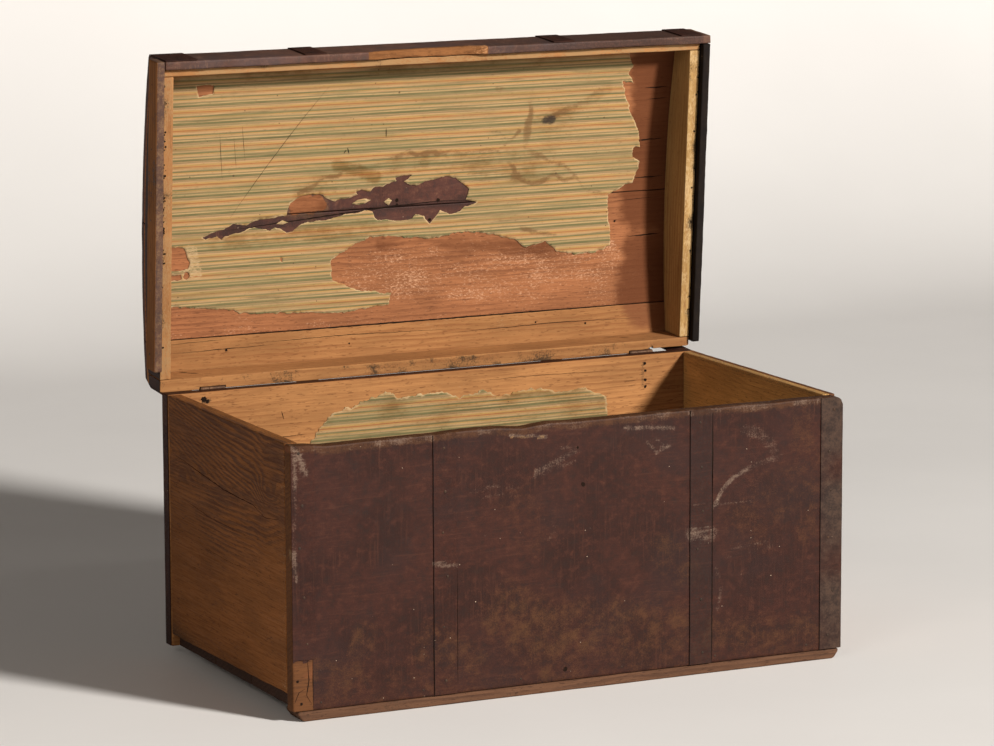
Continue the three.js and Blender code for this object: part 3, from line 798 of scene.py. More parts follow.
def front_coat(places):
    """Scuffs, rubbing and grime of the front's paint, which boards and straps share."""
    deep = deepen(places)
    broken = np.clip(0.72 + 0.8 * rough_noise(deep, 17.0, 33, 4), 0.2, 1.3)
    top = BODY_TOP / MM - places[:, 1] - top_drop(places[:, 0] * MM) / MM
    band = 1 - smooth_step(TOP_BAND * 0.55, TOP_BAND, top + 3.5 * rough_noise(deep, 30.0, 12))
    low = smooth_step(110, 10, places[:, 1])
    scuff = np.maximum(strokes(places, FRONT_SCUFFS), 0.75 * band * (0.55 + 0.6 * noise(deep, 14.0, 15)))
    rub = np.maximum(strokes(places, FRONT_RUBS) * broken, 0.8 * band)
    grime = np.maximum(strokes(places, FRONT_GRIME) * broken, 0.2 * band)
    return scuff, np.maximum(rub, 0.45 * low * broken), grime


def front_wear(flat):
    """Paint outside, bare inside, with a bare patch at the lower left corner."""
    places = body_places(flat)
    depth = (flat[:, 1] - FRONT_FACE) / BOARD
    outside = depth < 0.5
    patch = (places[:, 0] < PATCH_RIGHT) & (places[:, 1] < PATCH_TOP + 4 * noise(flat, 6 * MM, 5)) & outside
    ochre = near(places, [(-104, 396), (-74, 394), (-52, 391)], 8) * 0.5 * outside
    left_end = (flat[:, 0] < -HALF_LENGTH + 1.5 * MM) * 1.0
    bare = np.max([smooth_step(0.82, 0.98, depth), left_end, patch * 1.1, ochre], axis=0)
    scuff, rub, grime = front_coat(places)
    return columns(bare, scuff * outside, rub, grime)


def front_shape(points, flat):
    """The top edge is worn down in long waves, and its right corner is rubbed off."""
    along = flat[:, 0]
    points[:, 2] -= top_drop(along) * smooth_step(BODY_TOP - 30 * MM, BODY_TOP, flat[:, 2])
    aside = np.maximum(along - (HALF_LENGTH - CORNER_RADIUS), 0)
    above = np.maximum(flat[:, 2] - (BODY_TOP - CORNER_RADIUS), 0)
    reach = np.maximum(np.hypot(aside, above), 1e-9)
    over = np.maximum(reach - CORNER_RADIUS, 0)
    points[:, 0] -= over * aside / reach
    points[:, 2] -= over * above / reach
    return points


def side_wear(flat):
    """Outside, the paint has gone from the lower half and stays in the grain above; inside it is bare."""
    outside = np.abs(flat[:, 0]) > HALF_LENGTH - 11 * MM
    height = (flat[:, 2] - 34 * MM) / (378 * MM)
    back = smooth_step(-0.05, 0.2, flat[:, 1])
    edge = smooth_step(0.3, 0.72, height + rough_noise(flat, 0.11, 71) * 0.14 + 0.06 * back)
    bare = np.where(outside, 0.82 - 0.4 * edge, 2.0)
    top = smooth_step(BODY_TOP - 9 * MM, BODY_TOP - 5 * MM, flat[:, 2])
    foot = smooth_step(0.16, 0.0, height) * (0.3 + 0.4 * back)
    grime = np.where(outside | (top > 0), 0.08 + 0.5 * top + foot, 0.12 + 0.2 * noise(flat, 0.06, 5))
    middle = smooth_step(0.16, 0.05, np.abs(flat[:, 1]))
    red = np.where(outside, 0.42 * smooth_step(0.5, 0.3, height) * middle, 0.1)
    front_end = np.where(outside, 0.3 * smooth_step(0.05, 0.0, flat[:, 1] - FRONT_FACE - BOARD), 0)
    return columns(bare, front_end, red, grime)


def side_shape(points, flat):
    """The sides' lower edge is cut a little out of straight."""
    ragged = 0.5 * MM * noise(flat * [0, 1, 0], 0.02, 8)
    edge = follow((flat[:, 1] - BODY_MIDDLE) / MM, SIDE_FOOT) * MM + ragged
    low = flat[:, 2].min()
    points[:, 2] += np.maximum(edge - low, 0) * smooth_step(low + 40 * MM, low, flat[:, 2])
    return points


def side_rings(grain):
    """A flat-sawn board: rings run out along its middle ring in tongues, and close round an eye."""
    along, across, depth = (grain / MM + SIDE_ORIGIN).T
    away = across - follow(along, SIDE_CRACK[::-1])
    wander = rough_noise(grain * [0.3, 1, 1], 0.13, 6) * 9
    reach = np.sqrt((away + wander * np.clip(np.abs(away) / 30, 0, 1)) ** 2 + 9)
    tongues = SIDE_TONGUE_RUN * (along + 230) * np.exp(-(away / 75) ** 2)
    eyes = 0.0
    for eye_along, eye_across, wide, high, bulge in SIDE_EYES:
        eyes = eyes + bulge * np.exp(-((along - eye_along) / wide) ** 2 - ((across - eye_across) / high) ** 2)
    return (reach - tongues + eyes + depth * 0.7 + 60) / SIDE_RING


def back_wear(flat):
    """Bare inside, with dark marks of old nails."""
    depth = (BACK_FACE - flat[:, 1]) / BOARD
    places = body_places(flat)
    grime = near(places, [(-400, 400), (-396, 400)], 9) + 0.8 * near(places, [(368, 402), (368, 356)], 5)
    grime = grime + 0.15 + 0.2 * noise(flat, 0.06, 7)
    rub = 0.1 + 0.25 * near(places, [(-460, 405), (460, 405)], 14)
    return columns(smooth_step(0.78, 0.98, depth) * 2.0, 0.12 * (depth > 0.5), rub, grime)


def body_back_shape(points, flat):
    """Keeps the edge under the open lid sharp."""
    sharp = (flat[:, 1] > BACK_FACE - 5 * MM) & (flat[:, 2] > BODY_TOP - 5 * MM)
    sharp &= np.abs(flat[:, 0]) < HALF_LENGTH - 4 * MM
    points[sharp] = flat[sharp]
    return points


# Grime over the bottom boards, partly painted shade under the sides.
def base_wear(flat):
    return columns(0, 0.05, 0.25, 0.35 + 0.3 * noise(flat, 0.05, 3))


def runner_shape(points, flat):
    """The runners' lower corners are worn off at their ends."""
    (left, _, _), (right, _, high) = flat.min(0), flat.max(0)
    end = np.minimum(flat[:, 0] - left, right - flat[:, 0])
    share = np.clip(1 - flat[:, 2] / (high * 0.6), 0, 1) * smooth_step(26 * MM, 0, end) ** 2
    points[:, 0] -= np.sign(points[:, 0]) * 9 * MM * share
    return points


# Wear of the lid's boards, from places in millimetres (along, reach from the hinge axis)


def ceiling_wear(flat):
    """Painted outside, bare inside, with pale specks where the paper has gone, dark where it is torn."""
    share = flat[:, 2] / TOP_THICKNESS
    inner = share < 0.5
    places = flat[:, :2] / MM
    torn = (np.abs(places[:, 1] - 262) < 46) & (np.abs(places[:, 0] + 140) < 262) & inner
    ragged = places + 9 * columns(rough_noise(flat, 0.02, 61), rough_noise(flat, 0.02, 62))
    patch = near(ragged, [(-206, 268), (-178, 267)], 30) * torn
    bare = np.where(torn, 1.2 * patch - 0.3, 2.0 * (1 - smooth_step(0.08, 0.3, share)))
    pale = strokes(places, [([(-90, 150), (40, 140), (180, 130), (330, 140)], 75, 0.36),
                            ([(-400, 90), (400, 90)], 70, 0.22)])
    # Towards the right side board the ceiling darkens: the dark line in the corner is painted shade, and the
    # wide red-brown band beside it is partly stain, partly painted shade.
    dark = strokes(ragged, [([(-330, 228), (-200, 242), (-39, 253), (92, 254)], 15, 0.75),
                            ([(446, 60), (446, 480)], 22, 0.42)])
    dark = np.maximum(dark, 0.45 * near(places, [(-440, 70), (430, 70)], 6))
    red = strokes(ragged, [([(440, 80), (444, 480)], 112, 1.15),
                           ([(-60, 196), (60, 196), (200, 168), (330, 158)], 22, 0.6)])
    red = np.maximum(red, 0.4 * near(places, [(60, 160), (330, 190)], 60))
    rub = np.where(torn, 0.1 + 0.55 * (patch > 0.3), red)
    return columns(bare, pale * inner, rub * inner, np.maximum(dark * inner, 0.12))


def rim_wear(flat):
    """The frame is painted outside and bare inside; its rims are rubbed pale."""
    along, reach, height = flat.T
    aside = np.abs(along)
    outer = np.min([np.abs(reach - LID_BACK), LID_END - aside, np.abs(reach - LID_FRONT)], axis=0)
    rim = 1 - smooth_step(0.3 * MM, 2.6 * MM, height)
    bare = np.maximum(2.0 * smooth_step(0.6 * MM, 1.6 * MM, outer), 1.3 * rim)
    grime = 0.12 + 0.25 * noise(flat, 0.05, 13) + 0.3 * rim * (noise(flat, 0.012, 14) > 0.55)
    back = smooth_step(LID_BACK_INNER + 2 * MM, LID_BACK_INNER - 2 * MM, reach)
    ends = smooth_step(LID_END - 40 * MM, LID_END - 24 * MM, aside)
    pale = (0.85 - 0.65 * back - 0.25 * ends) * rim * (0.85 + 0.5 * rough_noise(flat, 0.03, 16))
    outer_edge = smooth_step(LID_END - 8 * MM, LID_END - 2 * MM, aside)
    grime = grime + 0.7 * rim * outer_edge * np.clip(rough_noise(flat, 0.03, 18) * 1.3 + 0.45, 0, 1)
    grime = grime + 0.9 * rim * np.clip(rough_noise(flat, 0.018, 19, 4) - 0.2, 0, 1)
    return columns(bare, pale, 0.12, grime + 0.25 * back * rim)


def lip_wear(flat):
    """Dark paint inside the lip and out, worn to reddish brown wood on its edge."""
    along, height = flat[:, 0] / MM, flat[:, 2] / MM
    side = np.abs(flat[:, 0]) > LID_END
    outer = np.where(side, np.abs(flat[:, 0]) - LID_END, flat[:, 1] - LID_FRONT) / (14 * MM)
    patch = rough_noise(flat, 0.05, 21)
    rim = smooth_step(-7.5, -9.5, height)
    bare = np.where(side, smooth_step(0.8, 1.0, outer) * (0.62 + 0.22 * patch),
                    0.1 + rim * (0.12 + 0.2 * patch))
    reach = np.minimum(-9.5 + (along + 124) * 0.22, 1.0) + 1.5 * rough_noise(flat, 0.012, 24)
    chip = (along > -124) & (along < 78) & (height < reach) & ~side
    grime = 0.12 + 0.6 * smooth_step(0.04, 0.24, flat[:, 0]) * ~side
    return columns(np.where(chip, 1.2, bare), chip * (0.1 + 0.95 * noise(flat, 0.03, 25)), 0.35 * side, grime)


def lip_shape(points, flat):
    """Cuts the broken-out stretch into the front lip's lower edge, in splinters."""
    along = flat[:, 0] / MM
    splinter = 1.3 * noise(flat * [1, 1, 0.2], 3 * MM, 41) + 0.8 * noise(flat * [1, 6, 0], 7 * MM, 43)
    broken = (along > CHIP_EDGE[0][0]) & (along < CHIP_EDGE[-1][0])
    lift = np.where(broken, np.maximum(follow(along, CHIP_EDGE) + 10.3 + splinter, 0.0), 0.0) * MM
    points[:, 2] += lift * np.clip((12 * MM - flat[:, 2]) / (22 * MM), 0, 1)
    return points


# Bends: from a flat board's box to its place in the lid


def top_bend(start_inner, start_outer, end):
    def bend(points):
        share = points[:, 2] / TOP_THICKNESS
        start = start_inner + (start_outer - start_inner) * share
        reach = end - (end - points[:, 1]) * (end - start) / (end - start_inner)
        return to_row(columns(points[:, 0], reach, dome(reach, TOP_THICKNESS - points[:, 2])))

    return bend


def frame_bend(floor, ceiling_height, below):
    """Stretches a frame board's height to the underside of the dome."""

    def bend(points):
        share = (points[:, 2] - floor) / (ceiling_height - floor)
        height = floor + share * (dome(points[:, 1], below) - floor)
        return to_row(columns(points[:, 0], points[:, 1], height))

    return bend


def back_bend(points):
    """The lid's back board: its outer top corner is bevelled."""
    along, reach, height = points.T
    share = np.clip((height - BEVEL_START) / (BEVEL_TOP - BEVEL_START), 0, 1)
    depth = (reach - LID_BACK) / (LID_BACK_INNER - LID_BACK)
    reach = reach + BEVEL_RUN * share * (1 - depth)
    top = dome(np.maximum(reach, LID_BACK + BEVEL_RUN * 0.5), UNDER_TOP)
    return to_row(columns(along, reach, np.minimum(height * top / dome(LID_BACK_MIDDLE, UNDER_TOP), top)))


# The hollows for the lid's hinge leaves, and the end where the back board's outer face is worn back
HOUSING_HALF = 22 * MM
HOUSING_TOP = 45.1 * MM
HOUSING_FLOOR = 4 * MM
HOUSING_STEP = 0.15 * MM
LEAF_MIDDLES = [box(f"hinge_lid_leaf_{side}")[:, 0].sum() / 2 for side in ("left", "right")]
HOUSING_ENDS = [middle + edge * (HOUSING_HALF + step) for middle in LEAF_MIDDLES for edge in (-1, 1)
                for step in (0.0, HOUSING_STEP)]
LIP_TOP_GAP = 8 * MM
WORN_END = (384, 396)
WORN_END_REACH = 4.6 * MM


def back_shape(points, flat):
    """Keeps the outer rim edge sharp, lets the hinge leaves in, and wears the right end's outer face back."""
    along, reach, height = flat.T
    slack = 0.05 * MM
    sharp = (reach < LID_BACK + 6 * MM) & (height < LIP_TOP_GAP) & (np.abs(along) < LID_END - 4 * MM)
    points[sharp] = flat[sharp]
    for middle in LEAF_MIDDLES:
        hollow = (np.abs(along - middle) < HOUSING_HALF + slack) & (height < HOUSING_TOP + slack)
        sunk = np.maximum(points[:, 1], HOUSING_FLOOR + 0.02 * (reach - LID_BACK))
        points[:, 1] = np.where(hollow & (reach < HOUSING_FLOOR + 1 * MM), sunk, points[:, 1])
    worn = smooth_step(*WORN_END, along / MM) * (WORN_END_REACH - LID_BACK)
    depth = np.clip((reach - LID_BACK) / (LID_BACK_INNER - LID_BACK), 0, 1)
    low = smooth_step(60 * MM, 20 * MM, height)
    points[:, 1] += np.where(points[:, 1] < WORN_END_REACH + 4 * MM, worn * (1 - depth) * low, 0)
    return points


# Iron straps: each is a flat strip (across, along, thickness), bent into place


def strap(node, low, high, bend, body, seed, wear, ragged=None):
    """A thin strap with wavy edges and small dents."""
    low, high = np.array(low, float), np.array(high, float)
    lines = block_lines(low, high, [5 * MM, 6 * MM, 1 * MM], 1.2 * MM)
    lines[2] = np.linspace(low[2], high[2], 3)
    flat, faces = block_skin(lines)
    points = rub_round(flat, low, high, np.full(len(flat), 0.4 * MM))
    across = (flat[:, 0] - low[0]) / (high[0] - low[0])
    left, right = (settings().strap_wave * (0.5 + 0.5 * rough_noise(flat * [0, 1, 0], 0.03, chance))
                   for chance in (seed, seed + 9))
    points[:, 0] += left * (1 - across) - right * across
    dent = 0.25 * MM * (0.5 + 0.5 * rough_noise(flat * [1, 1, 0], 0.025, seed + 4))
    points[:, 2] -= dent * (flat[:, 2] > low[2] + 0.1 * MM)
    if ragged:
        points = ragged(points, flat)
    made = make_object(f"worn_{node}", bend(points), faces, "strap_iron", body)
    grain = points * [1, 1, -1] + [0, 0, FRONT_FACE] + GRAIN_STEP * (1 + FRONT_SEED)
    give(made, grain=grain, wear=np.clip(wear(flat), 0, 1))
    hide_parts(node)
    return made


def strap_wear(flat):
    return columns(0, 0.1, 0.25 + 0.25 * noise(flat, 0.08, 3), 0.2)


def lid_strap_wear(flat):
    return columns(0, 0.25, 0.3 + 0.3 * noise(flat, 0.08, 3), 0.3 + 0.3 * noise(flat, 0.05, 6))


def front_strap_wear(flat):
    """The front's own scuffs and rubbing, painted shadow lines along some edges, and a bare right corner."""
    places = flat[:, :2] / MM
    scuff, rub, grime = front_coat(places)
    # Painted shadow: dark lines along the raised straps' edges, carried in the grime channel.
    edges = [1.6 * (np.abs(flat[:, 0] - edge) < 0.9 * MM) for edge in STRAP_SHADOW_EDGES]
    third = (places[:, 0] > 190) & (places[:, 0] < 235)
    grime = np.max([grime, *edges, 0.6 * third], axis=0)
    bare = 1.1 * smooth_step(418, 424, places[:, 0]) * (0.75 + 0.3 * noise(flat, 0.05, 2))
    left = near(places, [(-457, 405), (-455, 350), (-457, 220)], 5) * (places[:, 0] < -420)
    return columns(bare, np.maximum(scuff, 0.6 * left), rub, grime)


def flat_bend(inner, facing):
    def bend(points):
        return columns(points[:, 0], inner + facing * points[:, 2], points[:, 1])

    return bend


def corner_bend(inner, facing, side):
    """Bends a strap round the body's corner, with a small radius."""

    def bend(points):
        turn_radius = 0.5 * MM
        start = HALF_LENGTH + STRAP_OFF - turn_radius
        past = side * points[:, 0] - start
        quarter = math.pi / 2 * (turn_radius + 0.8 * MM)
        angle = np.clip(past / quarter, 0, 1) * math.pi / 2
        reach = turn_radius + points[:, 2]
        x = np.where(past > 0, start + reach * np.sin(angle), side * points[:, 0])
        y = np.where(past > 0, reach * np.cos(angle) - turn_radius, points[:, 2])
        y = y - np.maximum(past - quarter, 0)
        return columns(side * x, inner + facing * y, points[:, 1])

    return bend


def broken_foot(points, flat):
    """The left corner strap is broken off in a ragged line."""
    share = np.clip(1 - (flat[:, 1] - flat[:, 1].min()) / (30 * MM), 0, 1)
    points[:, 1] += 4 * MM * (0.5 + 0.5 * noise(flat * [1, 0, 0], 5 * MM, 77)) * share
    return worn_top(points, flat)


def worn_top(points, flat):
    """The strap ends where the board's worn top edge does."""
    points[:, 1] -= top_drop(flat[:, 0]) * smooth_step(BODY_TOP - 30 * MM, BODY_TOP, flat[:, 1])
    return points


def round_corner(points, flat):
    """The upper corner follows the board's rubbed corner; the part bent round the side starts below it."""
    aside = np.clip(flat[:, 0] - (HALF_LENGTH - CORNER_RADIUS), 0, CORNER_RADIUS)
    drop = CORNER_RADIUS - np.sqrt(np.maximum(CORNER_RADIUS ** 2 - aside ** 2, 0))
    points[:, 1] -= drop * smooth_step(BODY_TOP - 60 * MM, BODY_TOP, flat[:, 1])
    return points


def lid_strap_bend(foot):
    """Lays a strap over the lid, from the back board over the dome to the front lip's edge."""
    back = [(LID_BACK, foot), (LID_BACK, (foot + BEVEL_START) / 2), (LID_BACK, BEVEL_START - 2 * MM)]
    reach = np.linspace(LID_BACK + BEVEL_RUN + 2 * MM, LIP_FACE - 1.5 * MM, 60)
    front = [(LIP_FACE, DOME_EDGE - 2.5 * MM), (LIP_FACE, 30 * MM), (LIP_FACE, -9 * MM)]
    path = np.array([*back, *columns(reach, dome(reach)), *front])
    along = run_lengths(path)
    run = unit(np.gradient(path, along, axis=0))
    away = columns(-run[:, 1], run[:, 0])

    def bend(points):
        spot, out = (columns(*[np.interp(points[:, 1], along, values) for values in table.T])
                     for table in (path, away))
        spot = spot + unit(out) * (STRAP_OFF + points[:, 2])[:, None]
        return to_row(np.column_stack([points[:, 0], spot]))

    return bend, along[-1]


# Nails

BODY_STRAP_MIDDLES = (-441, -216, 212, 441)
LID_STRAP_MIDDLES = (-436, -216, 212, 443)
NAIL_SIDES = 10
NAIL_RINGS = ((1.0, -0.1), (0.94, 0.09), (0.62, 0.14))
NAIL_CROWN = 0.15


def nail_heads(name, places, body, share, seed):
    """Low hammered nail heads. Each place is a point and the way the head faces."""
    rng = np.random.default_rng(seed)
    points, faces = [], []
    steps = range(NAIL_SIDES)
    for place, out in places:
        place, out = Vector(place), Vector(out).normalized()
        first = out.orthogonal().normalized()
        second = out.cross(first)
        start = len(points)
        size = settings().nail_radius * share * rng.uniform(0.82, 1.12)
        for wide, height in NAIL_RINGS:
            for step in steps:
                angle = 2 * math.pi * step / NAIL_SIDES + seed
                reach = size * wide * rng.uniform(0.93, 1.05)
                points.append(place + out * (height * size)
                              + (first * math.cos(angle) + second * math.sin(angle)) * reach)
        points.append(place + out * size * NAIL_CROWN)
        for low in (start, start + NAIL_SIDES):
            high = low + NAIL_SIDES
            faces += [(low + step, low + (step + 1) % NAIL_SIDES, high + (step + 1) % NAIL_SIDES, high + step)
                      for step in steps]
        faces += [(high + step, high + (step + 1) % NAIL_SIDES, high + NAIL_SIDES) for step in steps]
        faces.append(tuple(start + step for step in reversed(steps)))
    points = np.array([list(point) for point in points])
    made = make_object(name, points, faces, "nail_iron", body)
    give(made, grain=points)
    return made


def in_lid(x, reach, height):
    """One place in the lid, in the row frame."""
    return to_row([[x, reach, height]])[0]


# Paper

LID_PAPER = [
    (-440, 488), (360, 488), (363, 478), (373, 462), (366, 449), (377, 432), (356, 437), (364, 408),
    (377, 382), (390, 358), (396, 326), (383, 324), (384, 309), (398, 301), (386, 267), (361, 259),
    (341, 249), (340, 227), (346, 199), (347, 166), (321, 156), (283, 155), (248, 164), (228, 179),
    (191, 173), (174, 187), (149, 192), (119, 202), (64, 204), (38, 197), (-29, 203), (-80, 208),
    (-106, 197), (-149, 173), (-146, 142), (-106, 124), (-44, 115), (-51, 97), (-135, 89), (-215, 95),
    (-307, 101), (-320, 107), (-412, 118), (-440, 119),
]
LID_PAPER_TEAR = [
    (-367, 224), (-354, 229), (-340, 233), (-329, 235), (-317, 242), (-304, 241), (-293, 239),
    (-281, 245), (-255, 247), (-226, 250), (-224, 257), (-218, 269), (-209, 276), (-196, 280),
    (-182, 282), (-164, 280), (-158, 274), (-143, 268), (-134, 271), (-117, 272), (-103, 276),
    (-106, 281), (-96, 284), (-82, 280), (-74, 288), (-60, 286), (-47, 292), (-37, 294), (-40, 300),
    (-26, 302), (-10, 303), (-17, 295), (-24, 293), (-12, 286), (1, 286), (14, 291), (27, 292), (38, 295),
    (50, 297), (66, 294), (80, 283), (91, 274), (88, 264), (85, 256), (106, 251), (84, 246), (76, 238),
    (58, 235), (41, 243), (37, 236), (30, 229), (23, 221), (17, 227), (12, 235), (-2, 239), (-8, 231),
    (-29, 230), (-51, 233), (-68, 233), (-75, 239), (-78, 248), (-91, 251), (-99, 247), (-116, 247),
    (-134, 243), (-150, 240), (-172, 239), (-189, 237), (-206, 232), (-215, 224), (-225, 223),
    (-234, 229), (-245, 233), (-253, 227), (-266, 232), (-280, 235), (-291, 233), (-304, 228),
    (-329, 224), (-335, 218), (-342, 224), (-353, 223), (-362, 220),
]
LID_PAPER_HOLES = [
    [(-385, 466), (-356, 466), (-357, 452), (-380, 448)],
    [(-430, 212), (-407, 211), (-399, 209), (-395, 201), (-392, 193), (-387, 186), (-391, 177),
     (-399, 174), (-430, 175)],
    [(-430, 168), (-403, 168), (-402, 161), (-408, 159), (-430, 161)],
    [(-396, 171), (-391, 171), (-389, 165), (-394, 160), (-399, 164)],
    [(-236, 185), (-231, 183), (-232, 176), (-236, 179)],
]
PAPER_SCRAPS = [
    [(-114, 262), (-104, 268), (-92, 270), (-80, 266), (-90, 262), (-102, 260)],
    [(-58, 262), (-50, 268), (-44, 263), (-50, 256)], [(-243, 238), (-232, 243), (-222, 239), (-232, 236)],
]
BACK_PAPER = [
    (-222, 322), (-214, 327), (-189, 359), (-160, 368), (-111, 381), (-94, 388), (-68, 376), (-33, 380),
    (10, 379), (37, 368), (72, 378), (107, 365), (161, 374), (214, 363), (259, 366), (299, 351),
    (301, 300), (290, 270), (240, 250), (120, 262), (20, 240), (-90, 255), (-180, 250), (-230, 280),
]
TIDE_LINES = [
    [(186, 422), (197, 393), (190, 364), (188, 332), (215, 318), (243, 304), (275, 290), (294, 268),
     (313, 255), (350, 248)],
    [(162, 315), (170, 290), (208, 277), (244, 283), (282, 277)],
    [(-205, 283), (-161, 306), (-110, 319), (-67, 333), (2, 338), (72, 333), (125, 335), (160, 346),
     (179, 365)],
    [(132, 432), (195, 420)],
    [(228, 379), (270, 395), (325, 425)],
    [(183, 205), (246, 189)],
]
PAPER_DAMP = [
    ([(60, 300), (190, 330), (240, 380)], 60, 0.3),
    ([(-200, 284), (-110, 308), (0, 322), (120, 324)], 26, 0.42),
    ([(-350, 214), (-200, 218), (-60, 222)], 22, 0.45), ([(-440, 486), (380, 486)], 26, 0.35),
    ([(-141, 326), (-119, 321), (-73, 304)], 17, 0.85), ([(165, 300), (250, 290)], 34, 0.4),
    ([(240, 384), (290, 402), (330, 424)], 15, 0.45),
]
PAPER_SOOT = [([(222, 379), (234, 380)], (2, 13), 1.1), ([(130, 366), (150, 352)], (3, 16), 0.5)]
PAPER_CREASES = [
    ([(-161, 454), (-200, 408), (-264, 327), (-321, 252)], 1.0), ([(-342, 389), (-335, 313)], 0.7),
    ([(-305, 399), (-298, 343)], 0.8), ([(-318, 380), (-312, 330)], 0.6), ([(-59, 382), (-58, 366)], 2.4),
    ([(-124, 353), (-121, 343)], 2.4), ([(-130, 344), (-126, 350)], 1.8),
]


def torn_edge(outline, step, amount, seed):
    """An outline with its straight stretches torn: divided, and moved in and out by noise."""
    corners = np.array(outline, float)
    places = []
    for start, end in zip(corners, np.roll(corners, -1, axis=0)):
        span = np.linalg.norm(end - start)
        count = max(1, int(round(span / step)))
        run = (end - start) / max(span, 1e-9)
        spots = start + (end - start) * (np.arange(count) / count)[:, None]
        deep = deepen(spots)
        move = rough_noise(deep, 9.0, seed, 3) * amount + noise(deep, 2.2, seed + 8) * amount * 0.35
        places.append(spots + np.array([-run[1], run[0]]) * move[:, None])
    return np.concatenate(places)


def paper_sheet(name, outline, place, wear, body, seed, spread, grid=5.0, gaps=()):
    """A sheet of paper with torn edges, in millimetres on its flat, and put in place on the wood."""
    loops = [torn_edge(outline, 2.2, spread, seed)]
    loops += [torn_edge(gap, 1.6, min(spread, 1.5), seed + 3 + index) for index, gap in enumerate(gaps)]
    low, high = loops[0].min(0), loops[0].max(0)
    sides = [np.arange(start, end, grid) for start, end in zip(low, high)]
    inner = np.array(np.meshgrid(*sides)).reshape(2, -1).T
    inner = inner + np.random.default_rng(seed).uniform(-0.2, 0.2, inner.shape) * grid
    inner = inner[on_sheet(inner, loops) & (distance_to_loops(inner, loops) > grid * 0.35)]
    points, edges = [], []
    for loop in loops:
        start, count = len(points), len(loop)
        points += [Vector(spot) for spot in loop]
        edges += [(start + index, start + (index + 1) % count) for index in range(count)]
    points += [Vector(spot) for spot in inner]
    found, _, triangles, *_ = delaunay_2d_cdt(points, edges, [], 0, 1e-4)
    flat, triangles = np.array([list(spot) for spot in found]), np.array(triangles)
    triangles = triangles[on_sheet(flat[triangles].mean(axis=1), loops)]
    rim = distance_to_loops(flat, loops)
    deep = deepen(flat)
    curl = np.clip(1 - rim / 7.0, 0, 1) * np.clip(rough_noise(deep, 25.0, seed + 5), 0, 1) * 1.6
    ripple = 0.12 + 0.1 * noise(deep, 18.0, seed + 6)
    made = make_object(name, place(flat, (curl + ripple) * MM), triangles, "striped_paper", body)
    give(made, grain=deepen(flat * MM), wear=np.clip(wear(flat, rim, deep), 0, 1))
    thick = made.modifiers.new("Thickness", "SOLIDIFY")
    thick.thickness = settings().paper_thickness
    thick.offset = 1.0
    return made


def lid_paper_wear(flat, rim, deep):
    """Pale torn edges, brown damp, tide lines round it, and two spots of soot."""
    tear = near(flat, [(-330, 226), (-200, 262), (-60, 268), (80, 272)], 22)
    reach = 4.5 + 6 * tear * np.clip(rough_noise(deep, 20.0, 14) + 0.4, 0, 1)
    edge = np.clip(1 - rim / reach, 0, 1) * (0.8 + 0.45 * noise(deep, 8.0, 4))
    edge = np.maximum(edge, 0.7 * near(flat, [(-386, 205), (-378, 168)], 20))
    brown = strokes(flat, PAPER_DAMP) * (0.8 + 0.35 * rough_noise(deep, 12.0, 17, 4))
    moved = flat + 6 * columns(noise(deep, 20.0, 5), noise(deep, 20.0, 6))
    band = np.min([distance_to_line(moved, line) for line in TIDE_LINES], axis=0)
    tide = np.maximum(1.1 * (1 - smooth_step(1.5, 8.0, band)) * (0.65 + 0.5 * noise(deep, 30.0, 8)), 0)
    soot = [amount * (1 - smooth_step(*widths, distance_to_line(flat, line)))
            for line, widths, amount in PAPER_SOOT]
    return columns(edge, brown, tide, np.max(soot, axis=0))


def back_paper_wear(flat, rim, deep):
    edge = np.clip(1 - rim / 8.0, 0, 1) * (0.8 + 0.4 * noise(deep, 8.0, 4))
    return columns(edge, 0.3 + 0.25 * noise(deep, 40.0, 2), 0, 0)


# Cracks, holes and painted shadow lines


def marks(name, points, faces, place, lift, body, smooth=True):
    """Dark flat shapes just over the wood."""
    flat = np.array(points)
    made = make_object(name, place(flat, np.full(len(flat), lift)), faces, "dark_hollow", body, smooth)
    give(made, grain=deepen(flat * MM))
    return made


def crack(name, lines, place, body, seed):
    """Dark hairlines in the wood, and painted shadow lines. Each line is (places, widest) in millimetres, on
    its flat.
    """
    points, faces = [], []
    for number, (line, widest) in enumerate(lines):
        along = run_lengths(np.array(line, float))
        steps = np.linspace(0, along[-1], max(6, int(along[-1] / 3)))
        middle = columns(*[np.interp(steps, along, values) for values in np.transpose(line)])
        deep = np.column_stack([middle, np.full(len(middle), number * 9.0)])
        middle[:, 1] += rough_noise(deep, 9.0, seed) * 0.7
        run = unit(np.gradient(middle, axis=0))
        taper = np.sin(np.linspace(0.12, math.pi - 0.12, len(middle)))
        width = widest / 2 * taper * (0.75 + 0.35 * noise(deep, 6.0, seed + 2))
        aside = columns(-run[:, 1], run[:, 0]) * width[:, None]
        start, count = len(points), len(middle)
        points += [*(middle + aside), *(middle - aside)]
        faces += [(spot, spot + 1, spot + count + 1, spot + count)
                  for spot in range(start, start + count - 1)]
    return marks(name, points, faces, place, 0.12 * MM, body)


def holes(name, places, place, body, seed):
    """Ragged nail and screw holes, as (along, up, radius) in millimetres."""
    rng = np.random.default_rng(seed)
    points, faces, sides = [], [], 12
    for x, y, radius in places:
        faces.append(tuple(range(len(points), len(points) + sides)))
        for step in range(sides):
            angle = 2 * math.pi * step / sides
            reach = radius * rng.uniform(0.72, 1.15)
            points.append((x + reach * math.cos(angle), y + reach * math.sin(angle)))
    return marks(name, points, faces, place, 0.15 * MM, body, smooth=False)


# Where flat things go: each takes places in millimetres and how far they stand off the wood


def on_ceiling(flat, lift):
    reach = flat[:, 1] * MM
    return to_row(columns(flat[:, 0] * MM, reach, dome(reach, TOP_THICKNESS) - lift))


def on_paper(flat, lift):
    return on_ceiling(flat, lift + PAPER_LIFT)


